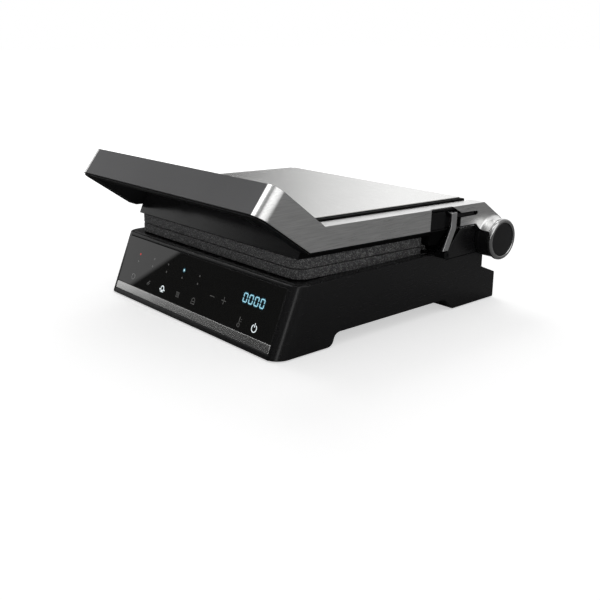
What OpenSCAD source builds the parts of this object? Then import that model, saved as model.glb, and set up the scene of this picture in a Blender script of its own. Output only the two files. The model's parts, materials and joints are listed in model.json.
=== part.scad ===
// Electric contact grill with a floating lid, a touch panel and a lid that folds open flat.
// Lengths are in millimetres. X is to the right, the front faces -Y, and Z is up.
// The origin lies under the middle of the whole grill, on the table.

/* [Base] */
// Width of the base across its flanks
base_w = 312; // [306:1:330]
// Depth of the base along its bottom
base_depth = 322; // [318:1:326]
// Height of the flanks and of the front panel
base_h = 68; // [67:0.5:69]
// Backward lean of the front panel, in degrees
panel_lean = 22.7; // [20:0.1:24]
// Radius of the two front corners
corner_r = 15; // [10:0.5:18]
// Wall of the base housing
wall = 3; // [2:0.1:3.6]
// Wall behind the glass
front_wall = 4.5; // [3.8:0.1:5.5]
// Height of the arch between the feet
arch_h = 14; // [12:0.5:15]
// Length of the front foot along the side
front_foot = 65; // [55:1:72]
// Length of the rear foot along the side
rear_foot = 72; // [60:1:76]
// Run of the curve from the front foot up to the arch
foot_curve = 16; // [14:0.5:22]
// Run of the slope from the arch down to the rear foot
foot_slope = 14; // [8:0.5:20]
// Height of the rear edge of the ledge behind the hinges
rear_h = 30.4; // [29:0.1:31]
// Height that the ledge gains towards the hinge towers
ledge_rise = 10; // [8:0.5:11]
// How far a rubber foot stands below the housing
pad_out = 1; // [0.6:0.1:1.6]
// Radius of a rubber foot
pad_r = 9; // [6:0.5:10]

/* [Hinge towers] */
// Distance from the plates to the foot of a tower
tower_gap = 16.7; // [14.7:0.1:19.7]
// Depth of the ledge behind the towers
ledge_len = 24; // [23:0.5:29]
// Run of the tower's sloping front edge
tower_slope = 21; // [15:0.5:26]
// Height of a tower's flat top
tower_h = 89.5; // [86:0.1:90]
// Width of a tower
tower_w = 31; // [28:0.5:32]
// How far behind the towers' rear wall the hinge axis lies
hub_over = 4.5; // [3:0.1:6]
// Height of the hinge axis
hub_z = 74.4; // [73.8:0.1:75.4]
// Radius of the tower's round hinge boss
boss_r = 18.5; // [16:0.1:19]
// Radius of the steel axle
axle_r = 6; // [4:0.1:6.5]

/* [Front panel] */
// Thickness of the control glass
glass_t = 2.2; // [1.6:0.1:2.8]
// Distance from an end of the glass to the flank
glass_side = 14; // [13:0.5:20]
// Height of the glass's lower edge, along the panel
glass_s0 = 16; // [15.6:0.1:18]
// Height of the glass's upper edge, along the panel
glass_s1 = 70; // [67:0.5:71]
// Height of the trim strip's lower edge, along the panel
strip_s0 = 7; // [6:0.1:9]
// Width of the trim strip
strip_h = 8.6; // [6:0.1:8.8]
// Distance between two touch symbols
touch_pitch = 30.5; // [28:0.1:31]

/* [Plates] */
// Width of the base beside the plates
plate_side = 14; // [13.5:0.5:16]
// Depth of the base behind the plates
plate_back = 103.7; // [102.7:0.1:106.7]
// Distance from the base's front edge to the plates
plate_y = 39.3; // [38.6:0.1:40.5]
// Height of the seam between the plates, at the base's front edge
seam_z = 80.6; // [80.4:0.1:81.2]
// Rearward fall of the plates and of the closed lid, in degrees
plate_tilt = 1.7; // [1.5:0.05:1.9]
// Height of a plate's rim
plate_t = 10; // [9:0.1:10.2]
// Gap between the closed plates
plate_gap = 0.6; // [0.6:0.1:1]
// Width of a plate's rim
rim_w = 7; // [5:0.5:9]
// Depth of the cooking face below the rim
cook_depth = 4.6; // [3.5:0.1:5.5]
// Number of ridges on a plate
ridge_count = 15; // [9:1:17]
// Height of a ridge
ridge_h = 3.4; // [2:0.1:3.4]
// Radius of a plate's corners
plate_corner = 14; // [8:0.5:18]
// Depth of the pan behind the rim
pan_t = 5.3; // [4:0.1:6]

/* [Lid] */
// How far an arm stands out beyond the base's flank
arm_out = 6; // [5:0.5:8]
// Clearance between an arm and the head
arm_gap = 1.5; // [1.4:0.1:2.5]
// Height of an arm's top edge, in the plates' tilted frame
arm_top = 124; // [123:0.5:126]
// Height of an arm's side
arm_h = 22.3; // [20:0.1:22.5]
// Distance from the front edge to the valley behind the handle
valley_y = 53.5; // [50:0.5:58]
// Distance from an arm's rear top corner to the hinge axis
arm_neck = 16.5; // [15.5:0.5:18.5]
// Thickness of the steel skin
skin_t = 1.5; // [1:0.1:1.8]
// How far the black core shows below the steel skin
core_drop = 1.5; // [0.8:0.1:1.8]
// Radius of the steel flange round the hinge
flange_r = 25.5; // [24:0.1:26]
// Radius of the hub ring
ring_r = 22.5; // [21.5:0.1:23.5]
// How far a hub ring stands out beyond an arm
hub_out = 16.5; // [14:0.5:18]
// Width of the hub ring along the axis
ring_t = 5.5; // [4:0.1:7]
// Radius of the black hub cap
cap_r = 18; // [15:0.1:19]
// Radius of the black hinge collar
collar_r = 21; // [20.6:0.1:21.4]

/* [Handle] */
// Distance of the handle's top edge from the base's front edge
handle_y = -3.7; // [-6:0.1:-2]
// Height of the handle's top edge, in the plates' tilted frame
handle_z = 166; // [164:0.5:168]
// Height of the handle panel, along its slope
handle_h = 31.2; // [29:0.1:32]
// Backward lean of the handle panel, in degrees
handle_lean = 36.5; // [35:0.5:38]
// Radius of the rounded corner from the panel to an arm
handle_r = 12; // [9:0.5:13]
// Thickness of the handle panel
panel_t = 2; // [1.4:0.1:2.6]
// Thickness of the grip behind the panel
grip_t = 20; // [15:0.5:22]

/* [Head] */
// Distance from the back of the head to the hinge axis
head_back = 25.5; // [24.5:0.5:27.5]
// Height of the head's top, in the plates' tilted frame
head_top = 126; // [125.5:0.1:126.8]
// Backward lean of the head's front face, in degrees
head_lean = 22; // [18:0.5:24]
// Wall of the head housing
head_wall = 2.5; // [2:0.1:3]
// Height of the head's deep rear block above the lower plate's bottom, in the tilted frame
block_z = 79.5; // [79:0.1:81]
// Clearance between the rear block and a tower
block_gap = 3; // [2:0.5:7]
// Thickness of the steel top cover
cover_t = 1.5; // [1:0.1:2]
// Black margin round the top cover
cover_margin = 4; // [3:0.1:6]
// Distance of the head's pivots from the back of the head
pivot_in = 15; // [11:0.5:19]
// Height of the head's pivots, in the tilted frame
pivot_z = 112; // [110:0.5:114]
// Radius of a pivot pin
pivot_r = 4; // [3:0.1:5]

/* [Lever] */
// Distance from the window's front end to the hinge axis
window_back = 103; // [101.5:0.5:105.5]
// Length of the window
window_len = 48; // [46:0.5:50]
// Length of the narrow slot behind the window
slot_len = 28; // [24:0.5:30]
// Width of the narrow slot
slot_h = 4.7; // [4:0.1:6]
// Height of the slot's middle, in the tilted frame
slot_z = 113.6; // [112:0.1:114.5]
// Travel of the lever
lever_travel = 5; // [3:0.5:5]
// Width of the lever's bar
bar_w = 8.5; // [7:0.1:9]
// Thickness of the lever's bar
bar_t = 3; // [2:0.1:3.6]
// Distance from the bar's front edge to the hinge axis
bar_back = 75; // [74:0.5:76.5]
// Height of the bar's bend, in the tilted frame
bend_z = 102.3; // [100:0.1:104]
// Forward reach of the bar below its bend
bar_reach = 11; // [9:0.5:13]

/* [Drip tray] */
// Distance from the drip tray to the flank
tray_side = 56; // [53:1:80]
// Length of the drip tray
tray_len = 168; // [140:1:172]
// Height of the drip tray
tray_h = 9.3; // [8:0.1:9.4]
// Wall of the drip tray
tray_wall = 1.5; // [1:0.1:2]

/* [Inside] */
// Radius of a heating tube
heater_r = 4; // [3:0.1:4.5]
// Thickness of a sheet metal reflector
sheet_t = 1.4; // [0.8:0.1:1.8]
// Thickness of a circuit board
board_t = 1.6; // [1.2:0.1:2]
// Length of a release rocker's pivot pin
rocker_pin = 22; // [20:0.5:24]
// Width of a release rocker
rocker_w = 14; // [10:0.5:16]

/* [Fits] */
// Clearance between pieces that move past each other
run_gap = 0.4; // [0.35:0.05:0.6]
// Clearance of a piece that is set into another
set_gap = 0.2; // [0.1:0.05:0.3]
// Clearance round a plate in its pocket
pocket_gap = 1.5; // [1:0.1:2]

/* [Hidden] */
$fn = 48;
e = 1;                         // overshoot of a cut past the face that it opens
lap = 0.05;                    // overlap of two shapes that make one piece
far = 500;                     // reach of a cut that passes right through
press_gap = 0.05;              // clearance of a piece that is pressed into another
skin_gap = 0.3;                // clearance between stacked sheets

// base
half_w = base_w / 2;
plate_w = base_w - 2 * plate_side;
plate_end = base_depth - plate_back;
plate_d = plate_end - plate_y;
tower_y = plate_end + tower_gap;
tower_rear = base_depth - ledge_len;
tower_x = half_w - tower_w;    // inner face of a tower
hub_y = tower_rear + hub_over;
arch_end = base_depth - rear_foot;
floor_z = arch_h + wall;       // inside floor over the arch
foot_floor = pad_out + wall;   // inside floor over the feet
deck_t = 8;
deck_drop = 2;                 // step down of the deck between the towers
deck_z = base_h - deck_t;      // underside of the deck, and seat of the towers
deck_lip = 3;                  // clearance round the pan in the deck
cover_side = 10;               // from the service opening to the flank
cover_lap = 10;                // width of the ledge under the service cover
cover_inset = 5;               // from the service opening to the ends of the arch
cover_plate_t = 1.6;
cover_half = half_w - cover_side;
cover_y0 = front_foot + foot_curve + cover_inset;
cover_y1 = arch_end - foot_slope - cover_inset;
vent_count = 6;                // vents on each side of the middle one
vent_pitch = 12;
vent_w = 3;
vent_len = 46;
screw_r = 1.75;
screw_len = 8;
screw_boss_r = 4.6;
screw_head_r = 3.4;
screw_head_t = 1.4;
pad_seat = 2.5;                // depth of a rubber foot's pocket
pad_hollow = 4;                // width of a rubber foot's rim
pad_side = 21;                 // from a rubber foot to the flank
pad_front = 2;                 // how far the front feet stand ahead of the middle of their foot
gland_side = 28;               // from the cord gland to the flank
gland_z = 17;
gland_r = 6;
gland_bore = 3.6;
gland_collar = 2;              // how far the gland's flanges reach past its hole
gland_flange = 3;
gland_x = -half_w + gland_side;

// front panel
glass_half = half_w - glass_side;
window_side = 12;              // from the end of the glass to the window behind it
window_half = glass_half - window_side;
window_low = 3.5;              // from the glass's lower edge to the window
window_high = 4;               // from the window to the glass's upper edge
touch_in = 29.5;               // from the glass's end to the first of the five touch symbols
touch_x0 = -glass_half + touch_in;
touch_s = 26;                  // height of the touch symbols on the panel
dots_s = [44.5, 53];
key_places = [[37.5, 38.2], [57.5, 38.2], [89.3, 24.2], [113.2, 24.5]];
display_x = [80.5, 122.5];
display_s = [42, 57];
board_y = 8;                   // depth of the control board's front behind the glass's face
board_side = 6;                // how far the control board reaches past the window
board_low = 7;                 // from the glass's lower edge to the control board
post_side = 3;                 // from the window to the board's posts
post_r = 2.5;
post_low = 14;                 // from the glass's lower edge to the lower posts
post_high = 12;                // from the upper posts to the glass's upper edge
light_r = 1.5;
spring_r = 4;
spring_t = 1;

// plates
pan_inset = 14;                // from the rim's outside to the pan
ridge_inset = 6;               // from the rim to the first ridge
ridge_foot = 6;                // width of a ridge at its foot
ridge_top = 3.2;               // width of a ridge at its top
ridge_sink = 0.2;              // depth of a ridge's foot below the cooking face
plate_bottom = seam_z - plate_gap / 2 - plate_t;
pan_bottom = plate_bottom - pan_t;
drain_r = 4;
drain_wall = 2;
spout_len = 14;
drain_in = 10;                 // from the pan's rear edge to the drain
drain_y = plate_end - pan_inset - drain_in;
leg_side = 42;                 // from the rim's outside to the heating tube's outer leg
leg_out = plate_w / 2 - leg_side;
leg_in = 0.4 * leg_out;
heater_front = 38;             // from the plate's front edge to the middle of the front legs
heater_rear = 44;              // from the rear bends to the plate's rear edge
heater_end = 14;               // how far the outer legs run on to the front
heater_z = pan_bottom - skin_gap - heater_r;
heater_y0 = plate_y + heater_front;
heater_y1 = plate_end - heater_rear;
sheet_z = heater_z - heater_r - skin_gap;
sheet_side = 8;                // clearance of the reflector beside the heating tube
sheet_wall = 6;                // height of the reflector's rim
sheet_front = 4;               // clearance of the reflector before the heating tube
sheet_rear = 3;                // clearance of the reflector behind the heating tube
sensor_r = 5;

// inside the base
tray_w = 2 * (half_w - tray_side);
tray_y = base_depth - tray_len;
tray_z = floor_z + skin_gap;
tray_lip_w = 56;
tray_lip = 4;
tray_lip_t = 2.4;
runner_w = 5;
standoff_h = 5;
standoff_r = 3.5;
board_half = tray_w / 2 + runner_w;
power_y = [cover_y0 + cover_lap + 4, tray_y - 2];
power_z = floor_z + standoff_h;
relay_w = 16;
relay_places = [-0.76, -0.48, 0.29, 0.62];

// release rockers
rocker_y = plate_y + plate_d / 2;
rocker_t = 2.5;
rocker_pin_r = 1.5;
rocker_hub = 1.7;              // wall of a rocker round its pin
rocker_in = 4;                 // from the inside of the wall to the pin
swing_gap = 1.6;               // room below a pad for its swing
bite = 1.2;                    // how far a tongue reaches into its lug
ear_t = 2.5;
ear_gap = 1;
ear_reach = 8;
ear_half = 4.5;
lug_w = 10;
lug_t = 2.6;
lug_side = 1.5;                // material beside a lug's window
lug_low = 1.6;                 // material below a lug's window
lug_face = -plate_w / 2 + pan_inset - lug_t;
tongue_gap = 0.7;              // clearance between a tongue and its lug
tongue_t = 2;
lower_lug = 14;
lower_win = 10.9;
lower_pivot_x = half_w - wall - rocker_in;
lower_pivot_z = 43;
lower_pad = [30, 38];
lower_tip = 11;                // height of the tongue over the pin
lower_rocker_y = lid_y(rocker_y, lower_pivot_z + lower_tip);
pad_press = 1.2;               // how far a pad stands out of its wall
upper_lug = 21;
upper_win = 6.4;

// hinges and lid
arm_x = half_w + arm_out;
arm_in = plate_w / 2 + arm_gap;
arm_bottom = arm_top - arm_h;
arm_rear = hub_y - arm_neck;
arm_front_low = 36.5;
cheek_gap = 1;                 // clearance between a tower and the arm's cheek
plate_x = half_w + cheek_gap;
skin_x = arm_x - skin_t;       // inner face of the skin's outer sheet
flange_top = 1.2;              // thickness of the skin's top flange
flange_inset = 0.3;
flare_run = 9;                 // length of the flare's hollow sweep
flare_step = 15;               // degrees between the points of that sweep
core_gap = 0.1;                // clearance between core and skin in the rounded corner
hub_x = arm_x + hub_out;
ring_x = hub_x - ring_t;       // inner face of the hub ring
ring_bevel = 1;
cap_drop = 0.6;                // how far the cap lies below the ring's face
cap_t = 2;
cap_wall = 3;
hub_l = [lid_iy(hub_y, hub_z), lid_iz(hub_y, hub_z)];
neck = 16;                     // overlap of an arm with its part at the hinge
neck_low = 12;
neck_y = 9;
handle_s = [sin(handle_lean), cos(handle_lean)];
handle_n = [cos(handle_lean), -sin(handle_lean)];
handle_low = [handle_y, handle_z] - handle_h * handle_s;
front_y = -(lid_y(handle_low[0], handle_low[1]) + hub_y + flange_r) / 2;
grip_end = 10;                 // thickness of the grip's ends
grip_back = 5;                 // thickness of the grip behind the panel
grip_roof = 7;                 // thickness of the grip's upper part
grip_screw_places = [-0.77, -0.25, 0.25, 0.77];
grip_screw_r = 1.5;
grip_head_r = 3;
grip_head_t = 1.6;
grip_screw_len = 6;
bush_wall = 2;
bush_r = axle_r + bush_wall;
bush_len = 10;
clip_recess = 12;              // radius of the collar's recess for the axle clip
clip_r = 3.5;                  // how far a clip reaches past the axle
clip_t = 1.2;
clip_gap = 1;
axle_end = ring_x - 1.5;
bracket_t = 2.5;
bracket_y = 6;                 // from the top of a tower's slope to the bracket
bracket_low = 11;
bracket_high = 9;
bracket_hole = 2.5;

// head
head_x = plate_w / 2;
head_rear = hub_y - head_back;
head_base = seam_z + plate_gap / 2 + plate_t;
head_front_top = plate_y + (head_top - head_base) * tan(head_lean);
wide_gap = 2.2;                // room between the towers and the head's wide part
wide_z = lid_iz(tower_rear, tower_h) + wide_gap;
block_run = 3.7;               // from the plates' rear edge to the head's rear block
block_y = plate_end + block_run;
block_half = tower_x - block_gap;
step_lean = 0.976;             // run of the step over the towers, for each unit of height
step_wall = 1.4;               // wall of that step along Y, in head walls
pivot_y = head_rear - pivot_in;
pivot_len = 8;
pivot_head = 2.5;
pivot_play = 0.4;
insulation_t = 4;
sheet_top = 2 * seam_z - sheet_z + sheet_t + insulation_t;
head_boss_r = 4;
head_screw_r = 1.5;
head_screw_len = 12;
head_screw_rear = 18;          // how far behind the rear bends the rear screws lie
upper_pivot_x = head_x - head_wall - rocker_in;
upper_pad_low = 3.2;           // from the head's lower edge to the rocker's pad
upper_pad_h = 4.2;
upper_pad = [head_base + upper_pad_low, head_base + upper_pad_low + upper_pad_h];
upper_pivot_up = 10.6;         // from the head's lower edge to the rocker's pivot
upper_pivot_z = head_base + upper_pivot_up;
upper_tip = 10.6;

// lever
window_y = hub_y - window_back;
window_end = window_y + window_len;
slot_end = window_end + slot_len;
window_top = arm_top - flange_top;
window_cut = 7.5;              // height of the cut behind the window's top edge
recess_d = 7;                  // depth of the recess behind the lever
recess_x = arm_x - recess_d;
bar_gap = 1;                   // clearance between an arm and the lever's bar
bar_x = arm_x + bar_gap;
bar_y = hub_y - bar_back;
bar_top = slot_z + 4.9;
bar_end = bar_y + bar_w;
tab_t = 2;
tab_in = 1;                    // from the recess to the thumb tab's inner end
bend_h = 1;
slider_step = 5.5;             // from the slider's raised block to the bar
tongue_in = 3.4;               // depth of the slider's tongue below the skin's face
slot_gap = 1.4;                // room behind the tongue at the end of its travel
slider_end = bar_end + set_gap;
foot_z = 78.9;                 // lower end of the lever, in the tilted frame
rest_r = 4;
rest_in = 5.5;                 // from the lever's foot to the middle of its rest
rest_y = bar_y - bar_reach + rest_in;
rest_z = lid_z(rest_y, foot_z) - run_gap - rest_r;

// ---------- frames ----------

// From the tilted lid frame to the level frame, and back
function lid_y(y, z) = y * cos(plate_tilt) + (z - seam_z) * sin(plate_tilt);
function lid_z(y, z) = seam_z - y * sin(plate_tilt) + (z - seam_z) * cos(plate_tilt);
function lid_iy(y, z) = y * cos(plate_tilt) - (z - seam_z) * sin(plate_tilt);
function lid_iz(y, z) = seam_z + y * sin(plate_tilt) + (z - seam_z) * cos(plate_tilt);
// Points on an arc from angle a to angle b
function arc(c, r, a, b, n = 8) = [for (i = [0:n])
    let (t = a + (b - a) * i / n) c + r * [cos(t), sin(t)]];

// Level frame: Y is measured from the front edge of the base
module level() { translate([0, front_y, 0]) children(); }
// Frame of the plates and the closed lid, which falls towards the hinge
module tilted() {
    level() translate([0, 0, seam_z]) rotate([-plate_tilt, 0, 0]) translate([0, 0, -seam_z]) children();
}
// Frame of the front panel: Y goes in from its face, Z runs up along it
module on_panel() { level() rotate([-panel_lean, 0, 0]) children(); }
// Frame of the handle: Y goes in from its face, Z runs up along it
module on_handle() {
    tilted() translate([0, handle_low[0], handle_low[1]]) rotate([-handle_lean, 0, 0]) children();
}
// A side view outline, drawn in Y and Z, given a width from x0 to x1
module across(x0, x1) { translate([x0, 0, 0]) rotate([90, 0, 90]) linear_extrude(x1 - x0) children(); }
module block(x0, x1, y0, y1, z0, z1) { translate([x0, y0, z0]) cube([x1 - x0, y1 - y0, z1 - z0]); }
module rod(x0, x1, y, z, r) { translate([x0, y, z]) rotate([0, 90, 0]) cylinder(h = x1 - x0, r = r); }
module both() { children(); mirror([1, 0, 0]) children(); }

// ---------- base ----------

// Plan of the base, seen along the leaning front panel
module base_plan(half, inset, r) {
    translate([-half, inset + r]) square([2 * half, far]);
    translate([-half + r, inset]) square([2 * half - 2 * r, r + e]);
    for (s = [-1, 1]) translate([s * (half - r), inset + r]) circle(r);
}

module base_prism(half, inset, r) {
    on_panel() translate([0, 0, -far / 2]) linear_extrude(far) base_plan(half, inset, r);
}

// Curve from the front foot up to the arch, as two equal arcs
function foot_curve_pts(y0, z0, run, rise) =
    let (a = 2 * atan(rise / run), r = run / (2 * sin(a)))
    concat(arc([y0, z0 + r], r, -90, -90 + a), arc([y0 + run, z0 + rise - r], r, 90 + a, 90));

// Side view of the base up to the deck and to the seats of the towers
module base_side() {
    polygon(concat([[-far / 4, pad_out]], foot_curve_pts(front_foot, pad_out, foot_curve, arch_h - pad_out),
        [[arch_end - foot_slope, arch_h], [arch_end, pad_out], [base_depth, pad_out], [base_depth, rear_h],
         [tower_rear, rear_h + ledge_rise], [tower_rear, deck_z], [tower_y, deck_z], [tower_y, base_h],
         [-far / 4, base_h]]));
}

// The open space inside the housing
module housing_space() intersection() {
    inner = half_w - wall;
    base_prism(inner, front_wall, corner_r - wall);
    level() across(-inner, inner) polygon(concat([[-far / 4, foot_floor]],
        foot_curve_pts(front_foot - wall, foot_floor, foot_curve, arch_h - pad_out),
        [[arch_end - foot_slope + wall, floor_z], [arch_end + wall, foot_floor],
         [base_depth - wall, foot_floor], [base_depth - wall, rear_h - wall],
         [tower_rear, rear_h + ledge_rise - wall], [tower_rear - wall, rear_h + ledge_rise],
         [tower_rear - wall, base_h + e], [-far / 4, base_h + e]]));
}

module base_housing() color("#1c1c1e") difference() {
    union() {
        difference() {
            intersection() {
                base_prism(half_w, 0, corner_r);
                level() across(-half_w, half_w) base_side();
            }
            housing_space();
        }
        // between the towers the rear wall runs on up to the deck
        level() block(-tower_x, tower_x, tower_rear - wall, tower_rear, deck_z - e, base_h - deck_drop);
        level() screw_places() translate([0, 0, floor_z - e]) cylinder(h = screw_len, r = screw_boss_r);
        // posts behind the panel that carry the control board
        on_panel() for (x = [-1, 1], s = [glass_s0 + post_low, glass_s1 - post_high])
            translate([x * (window_half + post_side), front_wall - e, s])
                rotate([-90, 0, 0]) cylinder(h = board_y - front_wall + e, r = post_r);
        level() rocker_ears(half_w - wall, lower_rocker_y, lower_pivot_z);
    }
    // seats of the glass and the strip, and the window behind the glass
    on_panel() block(-glass_half - set_gap, glass_half + set_gap, -e, glass_t,
        strip_s0 - set_gap, glass_s1 + set_gap);
    on_panel() block(-window_half, window_half, 0, front_wall + e, glass_s0 + window_low,
        glass_s1 - window_high);
    level() {
        // room for the hinge bosses of the towers
        both() rod(tower_x - e, half_w + e, hub_y, hub_z, boss_r + set_gap);
        // service opening in the floor, with a ledge for the cover
        block(-cover_half, cover_half, cover_y0, cover_y1, arch_h - e, arch_h + cover_plate_t);
        block(-cover_half + cover_lap, cover_half - cover_lap, cover_y0 + cover_lap, cover_y1 - cover_lap,
            arch_h - e, floor_z + e);
        screw_places() translate([0, 0, arch_h]) cylinder(h = screw_len + wall, r = screw_r + press_gap);
        // pockets of the rubber feet
        foot_places() cylinder(h = pad_out + pad_seat, r = pad_r);
        // mouth of the drip tray and hole of the cord gland
        block(-tray_w / 2 - run_gap, tray_w / 2 + run_gap, base_depth - wall - e, base_depth + e,
            floor_z, tray_z + tray_h + run_gap);
        translate([gland_x, base_depth + e, gland_z]) rotate([90, 0, 0])
            cylinder(h = wall + 2 * e, r = gland_r);
        // opening of the release rocker's pad
        block(-half_w - e, -half_w + wall + e, lower_rocker_y - rocker_w / 2 - run_gap,
            lower_rocker_y + rocker_w / 2 + run_gap, lower_pad[0] - swing_gap, lower_pad[1] + run_gap);
        rod(half_w - wall - e, half_w + e, rest_y, rest_z, rest_r / 2 + press_gap);
        rocker_bores(lower_pivot_x, lower_rocker_y, lower_pivot_z);
    }
}

// Hollow towers that stand on the rear corners of the housing and carry the axles
module hinge_towers() color("#1c1c1e") level() both() difference() {
    union() {
        across(tower_x, half_w) polygon([[tower_y, deck_z], [tower_rear, deck_z], [tower_rear, tower_h],
            [tower_y + tower_slope, tower_h], [tower_y, base_h]]);
        rod(tower_x, half_w, hub_y, hub_z, boss_r);
    }
    across(tower_x + wall, half_w - wall) polygon([[tower_y + wall, deck_z - boss_r],
        [tower_rear - wall, deck_z - boss_r], [tower_rear - wall, tower_h - wall],
        [tower_y + tower_slope + wall / 2, tower_h - wall], [tower_y + wall, base_h]]);
    rod(tower_x + wall, half_w - wall, hub_y, hub_z, boss_r - wall);
    rod(tower_x - e, half_w + e, hub_y, hub_z, axle_r + press_gap);
}

// Angle rails on the floor that carry and guide the drip tray
module tray_runners() color("#1c1c1e") level() both() {
    y0 = arch_end + wall;
    y1 = base_depth - wall;
    block(tray_w / 2 - runner_w, tray_w / 2 + runner_w, y0, y1, foot_floor, floor_z);
    block(tray_w / 2 + run_gap, tray_w / 2 + runner_w, y0, y1, floor_z - e, floor_z + runner_w);
}

module screw_places() {
    for (s = [-1, 1], y = [cover_y0 + cover_lap / 2, cover_y1 - cover_lap / 2])
        translate([s * (cover_half - cover_lap / 2), y, 0]) children();
}

module foot_places() {
    for (s = [-1, 1], y = [front_foot / 2 - pad_front, base_depth - rear_foot / 2])
        translate([s * (half_w - pad_side), y, 0]) children();
}

// Deck round the lower plate, with a tilted pocket for the plate's rim
module top_deck() color("#1a1a1b") difference() {
    intersection() {
        base_prism(half_w - wall - set_gap, front_wall + set_gap, corner_r - wall);
        level() union() {
            block(-far, far, -far / 4, tower_y - set_gap, deck_z, base_h);
            block(-tower_x + set_gap, tower_x - set_gap, tower_y - e, tower_rear - wall - set_gap, deck_z,
                base_h - deck_drop);
        }
    }
    tilted() block(-plate_w / 2 - pocket_gap, plate_w / 2 + pocket_gap, plate_y - pocket_gap,
        plate_end + pocket_gap, plate_bottom, base_h + far);
    tilted() block(-plate_w / 2 + pan_inset - deck_lip, plate_w / 2 - pan_inset + deck_lip,
        plate_y + pan_inset - deck_lip, plate_end - pan_inset + deck_lip, 0, base_h + far);
}

module bottom_cover() color("#232325") level() difference() {
    block(-cover_half + set_gap, cover_half - set_gap, cover_y0 + set_gap, cover_y1 - set_gap,
        arch_h, arch_h + cover_plate_t);
    screw_places() translate([0, 0, -e]) cylinder(h = far, r = screw_r + set_gap);
    // vents
    for (i = [-vent_count:vent_count]) translate([i * vent_pitch, (cover_y0 + cover_y1) / 2, 0])
        block(-vent_w / 2, vent_w / 2, -vent_len / 2, vent_len / 2, 0, far);
}

module cover_screws() color("#8a8a8e") level() screw_places() {
    translate([0, 0, arch_h - screw_head_t]) cylinder(h = screw_head_t, r = screw_head_r);
    translate([0, 0, arch_h - screw_head_t / 2]) cylinder(h = screw_len, r = screw_r);
}

module rubber_feet() color("#2b2b2b") level() foot_places() difference() {
    cylinder(h = pad_out + pad_seat, r = pad_r);
    translate([0, 0, -e]) cylinder(h = e + pad_out / 2, r = pad_r - pad_hollow);
}

module cord_gland() color("#202020") level() translate([gland_x, base_depth, gland_z]) rotate([90, 0, 0])
difference() {
    union() {
        translate([0, 0, -gland_flange])
            cylinder(h = gland_flange, r1 = gland_r + gland_collar / 2, r2 = gland_r + gland_collar);
        cylinder(h = wall, r = gland_r - press_gap);
        translate([0, 0, wall]) cylinder(h = gland_flange, r = gland_r + gland_collar);
    }
    translate([0, 0, -far / 2]) cylinder(h = far, r = gland_bore);
}

// ---------- front panel ----------

module control_glass() color("#101214") on_panel()
    block(-glass_half, glass_half, 0, glass_t, glass_s0, glass_s1);

module trim_strip() color("#d5d5d5") on_panel()
    block(-glass_half, glass_half, 0, glass_t, strip_s0, strip_s0 + strip_h);

// Places of the five touch symbols and of the keys
module touch_places() {
    for (i = [0:4]) translate([touch_x0 + i * touch_pitch, 0, touch_s]) children();
    for (k = key_places) translate([k[0], 0, k[1]]) children();
}

module control_board() color("#1f5c35") on_panel()
    block(-window_half - board_side, window_half + board_side, board_y, board_y + board_t,
        glass_s0 + board_low, glass_s1 - board_side);

module display_module() color("#15181c") on_panel()
    block(display_x[0], display_x[1], glass_t + set_gap, board_y, display_s[0], display_s[1]);

module status_lights() color("#f0f0e8") on_panel()
    for (i = [0:4], s = dots_s) translate([touch_x0 + i * touch_pitch, board_y, s]) rotate([90, 0, 0])
        cylinder(h = board_y - glass_t - 2 * set_gap, r = light_r);

module touch_springs() color("#b9a04e") on_panel() touch_places()
    rotate([-90, 0, 0]) translate([0, 0, glass_t + set_gap]) difference() {
        cylinder(h = board_y - glass_t - set_gap, r = spring_r);
        translate([0, 0, -e]) cylinder(h = far, r = spring_r - spring_t);
    }

module power_board() color("#2b6b3f") level() {
    block(-board_half, board_half, power_y[0], power_y[1], power_z, power_z + board_t);
    // standoffs reach the service cover
    for (s = [-1, 1], y = [power_y[0] + 2 * standoff_r, power_y[1] - 2 * standoff_r])
        translate([s * (board_half - 2 * standoff_r), y, arch_h + cover_plate_t])
            cylinder(h = power_z - arch_h - cover_plate_t + lap, r = standoff_r);
}

module power_relays() color("#3b4a8c") level() for (k = relay_places)
    translate([k * board_half, (power_y[0] + power_y[1] - relay_w) / 2, power_z + board_t]) cube(relay_w);

// ---------- plates and heat ----------

// A rim with rounded corners, from z0 to z1
module rim_block(inset, z0, z1, r) {
    translate([0, plate_y + plate_d / 2, z0]) linear_extrude(z1 - z0) {
        w = plate_w / 2 - inset;
        d = plate_d / 2 - inset;
        square([2 * w - 2 * r, 2 * d], center = true);
        square([2 * w, 2 * d - 2 * r], center = true);
        for (s = [-1, 1], t = [-1, 1]) translate([s * (w - r), t * (d - r)]) circle(r);
    }
}

module plate_body() {
    top = plate_bottom + plate_t;
    face = top - cook_depth;
    inset = rim_w + ridge_inset;
    pitch = (plate_w - 2 * inset) / (ridge_count - 1);
    difference() {
        union() {
            rim_block(0, plate_bottom, top, plate_corner);
            rim_block(pan_inset, pan_bottom, plate_bottom + e, plate_corner / 2);
        }
        rim_block(rim_w, face, top + e, plate_corner / 2);
    }
    for (i = [0:ridge_count - 1])
        translate([-plate_w / 2 + inset + i * pitch, plate_end - inset, face - ridge_sink])
            rotate([90, 0, 0]) linear_extrude(plate_d - 2 * inset)
                polygon([[-ridge_foot / 2, 0], [ridge_foot / 2, 0], [ridge_top / 2, ridge_h + ridge_sink],
                    [-ridge_top / 2, ridge_h + ridge_sink]]);
}

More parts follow.
